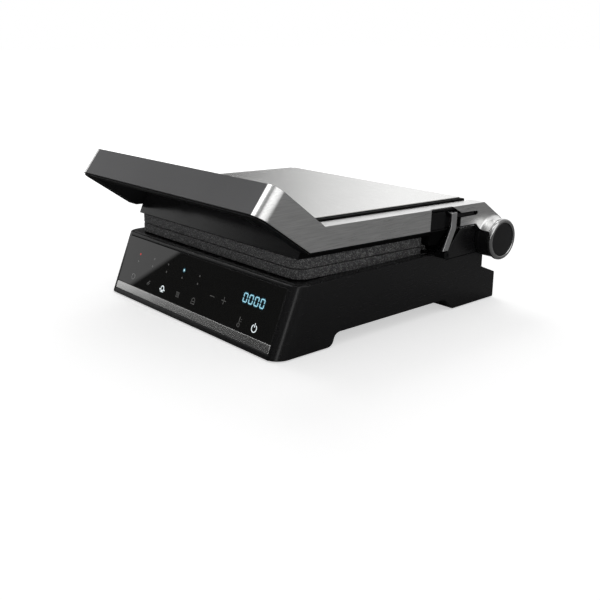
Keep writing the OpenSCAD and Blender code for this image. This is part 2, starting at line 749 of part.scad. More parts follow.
// Lug on the pan that the release rocker's tongue holds; its window is win high
module pan_lug(depth, win) {
    x = -plate_w / 2 + pan_inset;
    z = pan_bottom - depth;
    difference() {
        block(x - lug_t, x + e, rocker_y - lug_w / 2, rocker_y + lug_w / 2, z, plate_bottom - set_gap);
        block(x - lug_t - e, x, rocker_y - lug_w / 2 + lug_side, rocker_y + lug_w / 2 - lug_side,
            z + lug_low, z + lug_low + win);
    }
}

module lower_plate() color("#55565a") tilted() difference() {
    union() {
        plate_body();
        pan_lug(lower_lug, lower_win);
        translate([0, drain_y, pan_bottom - spout_len]) cylinder(h = spout_len + e, r = drain_r + drain_wall);
    }
    translate([0, drain_y, 0]) cylinder(h = far, r = drain_r);
}

module flipped() { translate([0, 0, 2 * seam_z]) mirror([0, 0, 1]) children(); }

module upper_plate() color("#55565a") tilted() flipped() {
    plate_body();
    pan_lug(upper_lug, upper_win);
}

// Heating tube in the shape of an M, lying against the pan
module bend(x, y, r, turn) {
    translate([x, y, heater_z]) rotate([0, 0, turn]) intersection() {
        rotate_extrude() translate([r, 0]) circle(heater_r);
        block(-far, far, 0, far, -heater_r - e, heater_r + e);
    }
}
module leg(x, y0, y1) {
    translate([x, y0, heater_z]) rotate([-90, 0, 0]) cylinder(h = y1 - y0, r = heater_r);
}
module heater() {
    both() {
        leg(leg_out, heater_y0 - heater_end, heater_y1);
        leg(leg_in, heater_y0 + leg_in, heater_y1);
        bend((leg_in + leg_out) / 2, heater_y1, (leg_out - leg_in) / 2, 0);
    }
    bend(0, heater_y0 + leg_in, leg_in, 180);
}
module lower_heater() color("#6d6a66") tilted() heater();
module upper_heater() color("#6d6a66") tilted() flipped() heater();

// Folded tray behind the heating tube
module reflector() {
    x = leg_out + heater_r + sheet_side;
    y0 = heater_y0 - heater_end - sheet_front;
    y1 = heater_y1 + (leg_out - leg_in) / 2 + heater_r + sheet_rear;
    difference() {
        block(-x, x, y0, y1, sheet_z - sheet_t, sheet_z + sheet_wall);
        block(-x + sheet_t, x - sheet_t, y0 + sheet_t, y1 - sheet_t, sheet_z, sheet_z + far);
    }
}
module lower_reflector() color("#b9bcc0") tilted() difference() {
    reflector();
    translate([0, drain_y, 0]) cylinder(h = far, r = drain_r + drain_wall + e);
}
module upper_reflector() color("#b9bcc0") tilted() flipped() reflector();

module sensor() { translate([0, rocker_y, sheet_z]) cylinder(h = pan_bottom - sheet_z, r = sensor_r); }
module lower_sensor() color("#c8b070") tilted() sensor();
module upper_sensor() color("#c8b070") tilted() flipped() sensor();

// ---------- release rockers ----------

// Two ears on the inside of the left wall
module rocker_ears(x_wall, y_mid, z) {
    for (s = [-1, 1]) {
        y = y_mid + s * (rocker_w / 2 + ear_gap + ear_t / 2);
        block(-x_wall, -x_wall + ear_reach, y - ear_t / 2, y + ear_t / 2, z - ear_half, z + ear_half);
    }
}
module rocker_bores(x, y, z) {
    translate([-x, y + rocker_pin, z]) rotate([90, 0, 0])
        cylinder(h = 2 * rocker_pin, r = rocker_pin_r + press_gap, $fn = 24);
}
module rocker_rod(x, y, z) {
    translate([-x, y + rocker_pin / 2, z]) rotate([90, 0, 0])
        cylinder(h = rocker_pin, r = rocker_pin_r, $fn = 24);
}
module lower_release_pin() color("#a0a0a4") level()
    rocker_rod(lower_pivot_x, lower_rocker_y, lower_pivot_z);
module upper_release_pin() color("#a0a0a4") tilted() rocker_rod(upper_pivot_x, rocker_y, upper_pivot_z);

// Pad through the side wall, plate round the pin, and tongue into the pan's lug
module rocker(x, y, z, pad, pad_x, tip_z) {
    y0 = y - rocker_w / 2;
    y1 = y + rocker_w / 2;
    tongue = lug_w / 2 - lug_side - tongue_gap;
    difference() {
        union() {
            block(-x - rocker_t / 2, -x + rocker_t / 2, y0, y1, pad[0], tip_z + tongue_t);
            block(-pad_x, -x, y0, y1, pad[0], pad[1]);
            translate([-x, y1, z]) rotate([90, 0, 0])
                cylinder(h = rocker_w, r = rocker_pin_r + rocker_hub, $fn = 32);
            block(-x, lug_face + bite, y - tongue, y + tongue, tip_z, tip_z + tongue_t);
        }
        translate([-x, y1 + e, z]) rotate([90, 0, 0])
            cylinder(h = rocker_w + 2 * e, r = rocker_pin_r + skin_gap, $fn = 24);
    }
}
module lower_release() color("#3a3a3d") level() rocker(lower_pivot_x, lower_rocker_y, lower_pivot_z,
    lower_pad, half_w + pad_press, lower_pivot_z + lower_tip);
module upper_release() color("#3a3a3d") tilted() rocker(upper_pivot_x, rocker_y, upper_pivot_z,
    upper_pad, head_x + pad_press, upper_pivot_z + upper_tip);

// ---------- hinges and lever rest ----------

module hinge_axles() color("#9a9ca0") level() both() rod(tower_x, axle_end, hub_y, hub_z, axle_r);

module hinge_brackets() color("#84878b") level() both() difference() {
    union() {
        rod(tower_x + wall, tower_x + wall + bracket_t, hub_y, hub_z, boss_r - wall - set_gap);
        block(tower_x + wall, tower_x + wall + bracket_t, tower_y + tower_slope + bracket_y, hub_y,
            hub_z - bracket_low, hub_z + bracket_high);
    }
    rod(0, far, hub_y, hub_z, axle_r + press_gap);
    rod(0, far, tower_y + tower_slope + 2 * bracket_y, hub_z, bracket_hole);
}

// Stub on the right flank that the lever's end comes down on
module lever_rest() color("#2a2a2c") level() difference() {
    union() {
        rod(half_w, bar_x + bar_t + e, rest_y, rest_z, rest_r);
        rod(half_w - wall, half_w + e, rest_y, rest_z, rest_r / 2);
    }
    rod(bar_x + bar_t, far, rest_y, rest_z, rest_r / 2);
}

// ---------- drip tray ----------

module drip_tray() color("#26272a") level() {
    x = tray_w / 2;
    difference() {
        block(-x, x, tray_y, base_depth, tray_z, tray_z + tray_h);
        block(-x + tray_wall, x - tray_wall, tray_y + tray_wall, base_depth - tray_wall,
            tray_z + tray_wall, far);
    }
    // finger lip outside the mouth
    block(-tray_lip_w / 2, tray_lip_w / 2, base_depth - e, base_depth + tray_lip,
        tray_z, tray_z + tray_lip_t);
}

// ---------- lid frame ----------

// Side view of an arm behind the handle's corner; drop lowers the top, low lowers the underside
module arm_side(drop, low, start) {
    a = handle_low + start * handle_n + (handle_h - drop) * handle_s;
    h = handle_low + start * handle_n - low * handle_s;
    polygon([a, [valley_y - drop / 3, arm_top - drop], [arm_rear, arm_top - drop],
        [arm_rear, arm_bottom - low], [arm_front_low, arm_bottom - low], h]);
}

// Rear part that comes down to the hinge
module arm_hub_side(drop) {
    r = flange_r - drop;
    start = [arm_rear, arm_top - drop];
    turn = atan2(start[0] - hub_l[0], start[1] - hub_l[1]) + acos(r / norm(start - hub_l));
    foot = hub_l + r * [sin(turn), cos(turn)];
    polygon([[arm_rear - neck, arm_top - drop], start, foot, hub_l, [hub_l[0] - neck_y, hub_l[1]],
        [arm_rear - neck_low, arm_bottom], [arm_rear - neck, arm_bottom]]);
    hub_sector(r);
}

// Round end of an arm at the hinge, above the arm's lower slope
module hub_sector(r) intersection() {
    translate(hub_l) circle(r);
    low = hub_l[1] - neck_y / 3;
    polygon([[arm_rear - neck_low, arm_bottom], [hub_l[0] - neck_y, hub_l[1]],
        [hub_l[0] - 2 * neck_y / 3, low], [hub_l[0] + 2 * r, low],
        [hub_l[0] + 2 * r, hub_l[1] + 2 * r], [hub_l[0] - 2 * r, hub_l[1] + 2 * r]]);
}

module arm_slot(y0, y1, h) {
    translate([y0, slot_z - h / 2]) square([y1 - y0 - h / 2, h]);
    translate([y1 - h / 2, slot_z]) circle(h / 2);
}

// What lies outside the rounded corner from the handle to an arm, at a depth under its surface
module corner_cut(depth) on_handle() difference() {
    block(arm_x - handle_r, far, -far, handle_r, -far, far);
    translate([arm_x - handle_r, handle_r, -far]) cylinder(h = 2 * far, r = handle_r - depth);
}

// Space taken by the core, with its top under the skin and open below
module skin_space() difference() {
    tilted() across(arm_in - e, skin_x) arm_side(flange_top, far, -2 * e);
    corner_cut(skin_t);
}

// Half section of the flare: hollow sweep from the arm's face, then a plain neck up to the hub ring
module flare_outline() {
    wide = flange_r - flange_inset;
    narrow = ring_r - flange_inset;
    polygon([[0, -lap], [wide, -lap],
        for (a = [0:flare_step:90]) [wide - (wide - narrow) * sin(a), flare_run * (1 - cos(a))],
        [narrow, ring_x - arm_x], [0, ring_x - arm_x]]);
}

// Steel skin of a side: outer sheet, top flange, rounded corner to the handle, and the flare at the hinge
module arm_skin(window) difference() {
    tilted() union() {
        across(arm_in, arm_x) arm_side(0, 0, -e);
        across(skin_x, arm_x) arm_hub_side(0);
        intersection() {
            translate([arm_x, hub_l[0], hub_l[1]]) rotate([0, 90, 0]) rotate_extrude() flare_outline();
            across(0, far) hub_sector(far / 5);
        }
    }
    corner_cut(0);
    skin_space();
    on_handle() block(0, arm_x - handle_r, -far, panel_t, -far, far);
    tilted() rod(0, far, hub_l[0], hub_l[1], collar_r + set_gap);
    if (window) tilted() across(skin_x - e, arm_x + e) {
        polygon([[window_y, 0], [window_end, 0], [window_end, arm_top - window_cut],
            [window_end - 2 * window_cut, arm_top], [window_end - 2 * window_cut, arm_top + e],
            [window_y, arm_top + e]]);
        arm_slot(window_end - e, slot_end, slot_h);
    }
}

module arm_skin_right() color("#b4b6b8") arm_skin(true);
module arm_skin_left() color("#b4b6b8") mirror([1, 0, 0]) arm_skin(false);

// Black core: beam inside the skin, and thin cheek down to the hinge
module arm_core(window) difference() {
    tilted() union() {
        across(arm_in, skin_x) arm_side(flange_top, core_drop, panel_t);
        across(plate_x, skin_x) arm_hub_side(flange_top);
    }
    corner_cut(skin_t + core_gap);
    tilted() rod(0, far, hub_l[0], hub_l[1], collar_r + set_gap);
    tilted() rod(arm_in - e, arm_in + pivot_len, pivot_y, pivot_z, pivot_r + lap);
    if (window) tilted() {
        block(recess_x, far, window_y, window_end, arm_bottom, window_top - tab_t);
        across(recess_x + tab_t, far) arm_slot(window_end - e, slot_end, slot_h + 3 * set_gap);
    }
}

module arm_core_right() color("#1b1b1c") arm_core(true);
module arm_core_left() color("#1b1b1c") mirror([1, 0, 0]) arm_core(false);

module handle_panel() color("#4a4a4d") on_handle()
    block(-arm_x + handle_r + set_gap, arm_x - handle_r - set_gap, 0, panel_t, 0, handle_h);

// Grip: a bar with a hollow back for the fingers
module handle_grip() color("#171718") on_handle() difference() {
    block(-arm_in + press_gap, arm_in - press_gap, panel_t, panel_t + grip_t,
        -core_drop, handle_h - flange_top);
    block(-arm_in + grip_end, arm_in - grip_end, panel_t + grip_back, far,
        -core_drop - e, handle_h - grip_roof);
    at_grip_screws() rotate([90, 0, 0])
        cylinder(h = far, r = grip_screw_r + press_gap, center = true, $fn = 24);
}
module at_grip_screws() {
    for (k = grip_screw_places) translate([k * arm_in, panel_t + grip_back, handle_h / 2]) children();
}
module grip_screws() color("#8a8a8e") on_handle() at_grip_screws() rotate([-90, 0, 0]) {
    cylinder(h = grip_head_t, r = grip_head_r, $fn = 32);
    translate([0, 0, e - grip_screw_len]) cylinder(h = grip_screw_len, r = grip_screw_r, $fn = 24);
}

// ---------- hub ----------

module hinge_collars() color("#202022") tilted() both() difference() {
    rod(half_w + run_gap, ring_x, hub_l[0], hub_l[1], collar_r);
    rod(0, far, hub_l[0], hub_l[1], bush_r + press_gap);
    rod(half_w + run_gap + bush_len + clip_gap / 2, far, hub_l[0], hub_l[1], clip_recess);
}
module hinge_bushes() color("#b08d4f") tilted() both() difference() {
    rod(half_w + run_gap, half_w + run_gap + bush_len, hub_l[0], hub_l[1], bush_r);
    rod(0, far, hub_l[0], hub_l[1], axle_r + skin_gap);
}
module axle_clips() color("#77797c") level() both() difference() {
    x = half_w + run_gap + bush_len + clip_gap;
    rod(x, x + clip_t, hub_y, hub_z, axle_r + clip_r);
    rod(0, far, hub_y, hub_z, axle_r);
}
module hub_ring() {
    tilted() difference() {
        union() {
            rod(ring_x, hub_x - ring_bevel, hub_l[0], hub_l[1], ring_r);
            translate([hub_x - ring_bevel, hub_l[0], hub_l[1]]) rotate([0, 90, 0])
                cylinder(h = ring_bevel, r1 = ring_r, r2 = ring_r - ring_bevel);
        }
        rod(0, far, hub_l[0], hub_l[1], cap_r + set_gap);
    }
}
module hub_cap() {
    tilted() difference() {
        rod(ring_x, hub_x - cap_drop, hub_l[0], hub_l[1], cap_r);
        rod(0, hub_x - cap_drop - cap_t, hub_l[0], hub_l[1], cap_r - cap_wall);
    }
}
module hub_ring_right() color("#d8d9da") hub_ring();
module hub_ring_left() color("#d8d9da") mirror([1, 0, 0]) hub_ring();
module hub_cap_right() color("#1d1d1f") hub_cap();
module hub_cap_left() color("#1d1d1f") mirror([1, 0, 0]) hub_cap();

// Pins on the arms that carry the floating head
module head_pivot_pins() color("#9a9ca0") tilted() both() {
    x = head_x - head_wall - pivot_play;
    rod(x, arm_in + pivot_len, pivot_y, pivot_z, pivot_r);
    rod(x - pivot_head, x + lap, pivot_y, pivot_z, pivot_r + pivot_head);
}

// ---------- release lever ----------

module lever_slider() color("#232325") tilted() {
    x = recess_x + run_gap;
    z = arm_bottom + 2 * run_gap;
    block(x, arm_x - set_gap, window_y + 2 * run_gap, bar_y - slider_step,
        z, window_top - tab_t - 2 * run_gap);
    block(x, arm_x - tongue_in, bar_y - slider_step - e, slider_end, z, bar_top - tab_t - set_gap / 2);
    block(arm_x - tongue_in - set_gap, arm_x - set_gap, slider_end - e, slot_end - lever_travel - slot_gap,
        slot_z - slot_h / 2 + run_gap, slot_z + slot_h / 2 - run_gap);
}

// Bent bar: upright, leg forward to the rest, and the thumb tab folded in over the slider
module release_lever() color("#cfd0d2") tilted() {
    low_y = bar_y - bar_reach;
    across(bar_x, bar_x + bar_t) polygon([[bar_y, bar_top], [bar_y, bend_z + bend_h], [low_y, foot_z],
        [low_y + bar_w, foot_z], [bar_end, bend_z - bend_h], [bar_end, bar_top]]);
    block(recess_x + tab_in, bar_x + bar_t, bar_y, bar_end, bar_top - tab_t, bar_top);
}

// ---------- head ----------

// Outer side view: deep behind the plates, and stepped over the hinge towers
module head_outer() {
    polygon([[plate_y, head_base], [block_y, head_base], [block_y, block_z], [tower_y, block_z],
        [step_y(wide_z), wide_z], [head_rear, wide_z], [head_rear, head_top], [head_front_top, head_top]]);
}
module head_inner() {
    w = head_wall;
    polygon([[plate_y + w / cos(head_lean), head_base - e], [plate_end - rim_w, head_base - e],
        [plate_end - rim_w, head_base + w], [block_y + w, head_base + w], [block_y + w, block_z + w],
        [step_y(block_z + w) - step_wall * w, block_z + w], [step_y(wide_z + w) - step_wall * w, wide_z + w],
        [head_rear - w, wide_z + w], [head_rear - w, head_top - w],
        [head_front_top - w * tan(head_lean) + w / cos(head_lean), head_top - w]]);
}
// Front of the step over the towers, at height z
function step_y(z) = tower_y + (z - block_z) * step_lean;

module head_housing() color("#1e1e20") difference() {
    union() {
        difference() {
            tilted() union() {
                across(-head_x, head_x) head_outer();
                block(-block_half, block_half, block_y, head_rear, block_z, wide_z + e);
            }
            tilted() {
                across(-head_x + head_wall, head_x - head_wall) head_inner();
                block(-block_half + head_wall, block_half - head_wall, block_y + head_wall,
                    head_rear - head_wall, block_z + head_wall, wide_z + 2 * head_wall);
            }
        }
        tilted() rocker_ears(head_x - head_wall, rocker_y, upper_pivot_z);
        tilted() head_screw_places() translate([0, 0, sheet_top])
            cylinder(h = head_top - head_wall - sheet_top + e, r = head_boss_r);
    }
    tilted() both() rod(head_x - head_wall - e, head_x + e, pivot_y, pivot_z, pivot_r + skin_gap);
    tilted() block(-head_x - e, -head_x + head_wall + e, rocker_y - rocker_w / 2 - run_gap,
        rocker_y + rocker_w / 2 + run_gap, upper_pad[0] - swing_gap, upper_pad[1] + run_gap);
    tilted() rocker_bores(upper_pivot_x, rocker_y, upper_pivot_z);
    tilted() head_screw_places() translate([0, 0, sheet_top - e])
        cylinder(h = head_screw_len, r = head_screw_r + press_gap, $fn = 24);
}

module top_cover() color("#b9bbbd") tilted()
    block(-head_x + cover_margin, head_x - cover_margin, head_front_top + cover_margin,
        head_rear - cover_margin, head_top, head_top + cover_t);

module insulation_board() color("#d9d2bd") tilted() difference() {
    block(-leg_out, leg_out, heater_y0 - heater_end, heater_y1 + (leg_out - leg_in) / 2,
        sheet_top - insulation_t, sheet_top);
    head_screw_places() cylinder(h = far, r = head_screw_r + set_gap, $fn = 24);
}
module head_screw_places() {
    for (s = [-1, 1], y = [heater_y0, heater_y1 + head_screw_rear])
        translate([s * (leg_in + leg_out) / 2, y, 0]) children();
}
module head_screws() color("#8a8a8e") tilted() head_screw_places()
    translate([0, 0, sheet_top - insulation_t]) cylinder(h = head_screw_len, r = head_screw_r, $fn = 24);

base_housing();
hinge_towers();
tray_runners();
top_deck();
bottom_cover();
rubber_feet();
cover_screws();
cord_gland();
control_glass();
trim_strip();
control_board();
display_module();
status_lights();
touch_springs();
power_board();
power_relays();
lower_plate();
lower_heater();
lower_reflector();
lower_sensor();
hinge_axles();
hinge_brackets();
lever_rest();
lower_release_pin();
lower_release();
drip_tray();
arm_skin_right();
arm_skin_left();
arm_core_right();
arm_core_left();
handle_panel();
handle_grip();
hinge_collars();
hinge_bushes();
axle_clips();
hub_ring_right();
hub_ring_left();
hub_cap_right();
hub_cap_left();
head_pivot_pins();
grip_screws();
lever_slider();
release_lever();
head_housing();
top_cover();
upper_plate();
upper_heater();
upper_reflector();
upper_sensor();
insulation_board();
upper_release_pin();
upper_release();
head_screws();
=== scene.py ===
import json
import math

import bmesh
import bpy
from bpy.props import FloatProperty, FloatVectorProperty, IntProperty, PointerProperty
from mathutils import Matrix, Vector


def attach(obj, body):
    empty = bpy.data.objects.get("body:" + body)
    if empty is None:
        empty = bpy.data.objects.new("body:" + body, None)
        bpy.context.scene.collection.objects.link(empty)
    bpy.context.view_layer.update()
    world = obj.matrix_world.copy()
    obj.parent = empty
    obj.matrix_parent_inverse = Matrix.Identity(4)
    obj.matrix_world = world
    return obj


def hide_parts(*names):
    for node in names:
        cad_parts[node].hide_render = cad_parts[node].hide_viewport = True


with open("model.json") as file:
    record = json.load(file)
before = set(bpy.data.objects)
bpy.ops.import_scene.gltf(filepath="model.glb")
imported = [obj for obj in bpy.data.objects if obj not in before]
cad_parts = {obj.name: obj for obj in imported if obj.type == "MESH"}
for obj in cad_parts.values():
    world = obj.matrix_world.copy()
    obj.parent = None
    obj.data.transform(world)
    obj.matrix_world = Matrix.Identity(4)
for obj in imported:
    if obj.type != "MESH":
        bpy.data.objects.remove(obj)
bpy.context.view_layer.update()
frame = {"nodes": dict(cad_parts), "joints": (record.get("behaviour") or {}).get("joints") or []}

bl_info = {
    "name": "Contact Grill Dressing",
    "version": (1, 0, 0),
    "blender": (4, 5, 0),
    "location": "View3D > Sidebar > Grill",
    "description": "Gives the packed contact grill its visible surfaces, finishes and studio",
    "category": "Object",
}

MM = 0.001

# ---------- places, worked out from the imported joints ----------

JOINTS = {joint["name"]: joint for joint in frame["joints"]}
HINGE = Vector(JOINTS["lid_hinge"]["pos_m"])

# The lever slides along the lid, so its axis tells how far the lid is tilted about the seam of the plates.
SLIDE = Vector(JOINTS["lever_slide"]["axis"])
TILT = math.asin(-SLIDE.z / SLIDE.length)
SEAM = 0.0806

# The plane of the control panel meets the table this far in front of the hinge.
HINGE_FROM_FRONT = 0.3025
PANEL_LEAN = math.radians(22.7)

# The handle panel leans back from its lower edge, which is given in the lid's frame.
HANDLE_LEAN = math.radians(36.5)
HANDLE_LOW = Vector((0, -22.259 * MM, 140.919 * MM))

# The towers stand on the housing at this height.
TOWER_SEAT = 0.060
# The arms' upper edge comes down from the handle to here, and runs on level behind it. In front of here its
# rounding is painted black as shade.
EDGE_FOOT = -0.1003
# Outside this distance from the middle, the lower front edges of an arm's core show as a pale lip.
LIP_INSIDE = 0.157

LEVEL = Matrix.Translation((0, HINGE.y - HINGE_FROM_FRONT, 0))
LID = (LEVEL @ Matrix.Translation((0, 0, SEAM)) @ Matrix.Rotation(-TILT, 4, "X")
       @ Matrix.Translation((0, 0, -SEAM)))
PANEL = LEVEL @ Matrix.Rotation(-PANEL_LEAN, 4, "X")
HANDLE = LID @ Matrix.Translation(HANDLE_LOW) @ Matrix.Rotation(-HANDLE_LEAN, 4, "X")
HUB = LID.inverted() @ HINGE
# The camera's place in the photograph.
EYE = LEVEL @ Vector((0.7013, -0.4393, 0.2866))


# ---------- settings ----------

def length(name, text, default, low, high):
    """A length that a user can change."""
    return FloatProperty(name=name, description=text, default=default, min=low, max=high,
                         unit="LENGTH", precision=4)


def colour(name, text, default):
    """A colour that a user can change."""
    return FloatVectorProperty(name=name, description=text, default=default, subtype="COLOR",
                               size=4, min=0, max=1)


class GrillSizes(bpy.types.PropertyGroup):
    """Sizes of the dressed pieces"""
    moulded_edge: length("Moulded edge", "Rounding of the black mouldings", 0.8 * MM, 0.0001, 0.002)
    metal_edge: length("Metal edge", "Rounding of cut sheet metal", 0.3 * MM, 0.0001, 0.001)
    plate_edge: length("Plate edge", "Rounding of the cast plates", 1.0 * MM, 0.0001, 0.002)
    ink: length("Print thickness", "How far a printed symbol stands off the glass", 0.05 * MM,
                0.00002, 0.0002)
    symbol: length("Symbol size", "Width of a touch symbol", 6.4 * MM, 0.003, 0.012)
    digit_height: length("Digit height", "Height of a display digit", 9.4 * MM, 0.006, 0.014)
    digit_width: length("Digit width", "Width of a display digit", 6.3 * MM, 0.004, 0.01)
    digit_pitch: length("Digit pitch", "Distance between two digits", 8.75 * MM, 0.006, 0.014)
    cover_fold: length("Cover fold", "Rounding along the edge of the top cover", 0.7 * MM, 0.0002, 0.0014)
    round_steps: IntProperty(name="Round steps", description="Facets across a rounded edge",
                             default=2, min=1, max=4)


def grey(value):
    """A neutral colour."""
    return (value, value, value, 1)


class GrillColours(bpy.types.PropertyGroup):
    """Colours of the dressed pieces"""
    housing: colour("Housing", "Moulded black housing", (0.0085, 0.0085, 0.009, 1))
    core: colour("Arm core", "Black core of the arms and the handle", (0.006, 0.006, 0.0065, 1))
    glass: colour("Glass", "Body of the black control glass", (0.013, 0.013, 0.0125, 1))
    steel: colour("Steel", "Brushed steel skins", (0.72, 0.72, 0.715, 1))
    cover: colour("Cover", "Brushed steel top cover", (0.74, 0.74, 0.73, 1))
    handle: colour("Handle", "Dark satin handle panel", (0.094, 0.094, 0.096, 1))
    chrome: colour("Chrome", "Hub rings", grey(0.47))
    lever: colour("Lever", "Satin release lever", grey(0.6))
    plate: colour("Plate", "Speckled coating of the plates", (0.075, 0.075, 0.077, 1))
    light: colour("Light", "Lit symbols", (0.62, 0.68, 0.70, 1))
    display: colour("Display", "Lit digits", (0.30, 0.56, 0.66, 1))
    dim: colour("Dim symbol", "Symbols that are not lit", (0.15, 0.15, 0.145, 1))
    red: colour("Red light", "First status light", (0.42, 0.045, 0.04, 1))


class GrillStudio(bpy.types.PropertyGroup):
    """Camera and light"""
    lens: FloatProperty(name="Lens", description="Focal length of the camera", default=49.75,
                        min=20, max=120, unit="CAMERA")
    yaw: FloatProperty(name="Yaw", description="Turn of the camera about the upright", unit="ROTATION",
                       default=math.radians(49.29), min=-math.pi, max=math.pi)
    pitch: FloatProperty(name="Pitch", description="Downward look of the camera", unit="ROTATION",
                         default=math.radians(17.72), min=-math.pi / 2, max=math.pi / 2)
    world: FloatProperty(name="World", description="Brightness of the light from all round", default=0.55,
                         min=0, max=2)
    key: FloatProperty(name="Key", description="Power of the large lamp above", default=13, min=0,
                       max=100, unit="POWER")


# ---------- shader tools ----------

class Signal:
    """A socket that Python's arithmetic turns into Math nodes."""

    def __init__(self, finish, socket):
        self.finish = finish
        self.socket = socket

    def _math(self, operation, *values):
        return self.finish.node("ShaderNodeMath", {"operation": operation}, dict(enumerate(values)))

    def __add__(self, other):
        return self._math("ADD", self, other)

    def __radd__(self, other):
        return self._math("ADD", other, self)

    def __sub__(self, other):
        return self._math("SUBTRACT", self, other)

    def __rsub__(self, other):
        return self._math("SUBTRACT", other, self)

    def __mul__(self, other):
        return self._math("MULTIPLY", self, other)

    def __rmul__(self, other):
        return self._math("MULTIPLY", other, self)

    def __truediv__(self, other):
        return self._math("DIVIDE", self, other)

    def __lt__(self, other):
        return self._math("LESS_THAN", self, other)

    def __gt__(self, other):
        return self._math("GREATER_THAN", self, other)

    def angle(self, other):
        """The angle in degrees of a direction, from this part of it and the other."""
        return self._math("ARCTAN2", self, other) * math.degrees(1)

    def clamp(self):
        """The value held between 0 and 1."""
        return self._math("MINIMUM", self._math("MAXIMUM", self, 0.0), 1.0)

    def ramp(self, start, end):
        """0 before start and 1 after end, with a straight rise between them."""
        return ((self - start) / (end - start)).clamp()

    def between(self, rise, fall):
        """1 from the end of a rise to the start of a fall, and 0 outside them."""
        return self.ramp(*rise) * (1 - self.ramp(*fall))


class Finish:
    """A node material that is built by calls."""

    def __init__(self, owner, name=None):
        self.data = owner if name is None else owner.new(name)
        self.data.use_nodes = True
        self.tree = self.data.node_tree
        self.tree.nodes.clear()

    def node(self, kind, settings=None, values=None, out=0):
        """Adds a node, sets it, then fills or links its inputs. Gives one of its outputs."""
        made = self.tree.nodes.new(kind)
        for key, value in (settings or {}).items():
            setattr(made, key, value)
        for key, value in (values or {}).items():
            if isinstance(value, Signal):
                self.tree.links.new(value.socket, made.inputs[key])
            else:
                made.inputs[key].default_value = value
        return Signal(self, made.outputs[out]) if made.outputs else None

    def place(self, stretch=(1, 1, 1), turn=(0, 0, 0)):
        """Object coordinates, stretched and turned."""
        spot = self.node("ShaderNodeTexCoord", out="Object")
        return self.node("ShaderNodeMapping", None, {"Vector": spot, "Scale": stretch, "Rotation": turn})

    def noise(self, spot, scale, detail=2.0, roughness=0.5):
        """Soft noise from 0 to 1."""
        return self.node("ShaderNodeTexNoise", None,
                         {"Vector": spot, "Scale": scale, "Detail": detail, "Roughness": roughness})

    def axis(self, spot, index):
        """One of the three parts of a vector."""
        return self.node("ShaderNodeSeparateXYZ", None, {0: spot}, out=index)

    def mix(self, amount, first, second):
        """A colour between two."""
        return self.node("ShaderNodeMix", {"data_type": "RGBA"}, {0: amount, 6: first, 7: second}, out=2)

    def shade(self, tone, amount):
        """A colour made lighter or darker by a factor that changes over the surface."""
        even = self.node("ShaderNodeCombineColor", None, {0: amount, 1: amount, 2: amount})
        return self.node("ShaderNodeMix", {"data_type": "RGBA", "blend_type": "MULTIPLY"},
                         {0: 1.0, 6: tone, 7: even}, out=2)

    def bump(self, height, strength, distance):
        """A normal tilted by a height."""
        return self.node("ShaderNodeBump", None,
                         {"Height": height, "Strength": strength, "Distance": distance})

    def surface(self, **values):
        """The closing shader."""
        inputs = {key.replace("_", " ").title().replace("Ior", "IOR"): value
                  for key, value in values.items()}
        shader = self.node("ShaderNodeBsdfPrincipled", None, inputs)
        self.node("ShaderNodeOutputMaterial", None, {"Surface": shader})
        return self.data


def moulded(name, tone, rough=0.26, grain=0.25, shine=0.36):
    """Black moulded plastic with a fine spark-eroded grain and faint handling marks."""
    f = Finish(bpy.data.materials, name)
    spot = f.place()
    fine = f.noise(spot, 1900, detail=3)
    broad = f.noise(spot, 22, detail=3)
    marks = f.noise(f.place((90, 90, 900), (0.4, 0.2, 0.9)), 1.0, detail=4).ramp(0.55, 0.8)
    return f.surface(base_color=f.shade(tone, 0.86 + broad * 0.18 + fine * 0.12),
                     roughness=rough - 0.05 + broad * 0.06 + marks * 0.08,
                     normal=f.bump(fine, grain, 0.04 * MM), specular_ior_level=shine)


def brushed(name, tone, along, rough, depth):
    """Sheet steel brushed along an axis: long streaks over a faint cloudiness."""
    f = Finish(bpy.data.materials, name)
    fine = [2600, 2600, 2600]
    fine[along] = 40
    wide = [760, 760, 760]
    wide[along] = 42
    streak = f.noise(f.place(fine), 1.0, detail=3, roughness=0.6)
    band = f.noise(f.place(wide), 1.0)
    cloud = f.noise(f.place(), 12)
    lines = streak.ramp(0.3, 0.7) + band.ramp(0.3, 0.7)
    share = depth * 0.45
    return f.surface(base_color=f.shade(tone, 1.0 - share + lines * share + cloud * 0.04), metallic=1.0,
                     roughness=rough - 0.06 + streak * 0.14 + cloud * 0.05,
                     normal=f.bump(streak, depth * 0.3, 0.015 * MM))


def satin(name, tone, rough=0.36, metal=0.85, relief=0.18):
    """Bead blasted, anodised aluminium."""
    f = Finish(bpy.data.materials, name)
    spot = f.place()
    bead = f.noise(spot, 2400)
    cloud = f.noise(spot, 16, detail=3)
    return f.surface(base_color=f.shade(tone, 0.88 + cloud * 0.14 + bead * relief * 0.5), metallic=metal,
                     roughness=rough - 0.04 + cloud * 0.08, normal=f.bump(bead, relief, 0.03 * MM))


def chromed(name, tone):
    """Plated ring with faint turning lines."""
    f = Finish(bpy.data.materials, name)
    spot = f.place()
    haze = f.noise(spot, 60, detail=3)
    lines = f.noise(f.place((5200, 260, 260)), 1.0)
    return f.surface(base_color=f.shade(tone, 0.94 + haze * 0.08), metallic=1.0,
                     roughness=0.1 + haze * 0.06 + lines * 0.04, normal=f.bump(lines, 0.08, 0.02 * MM))


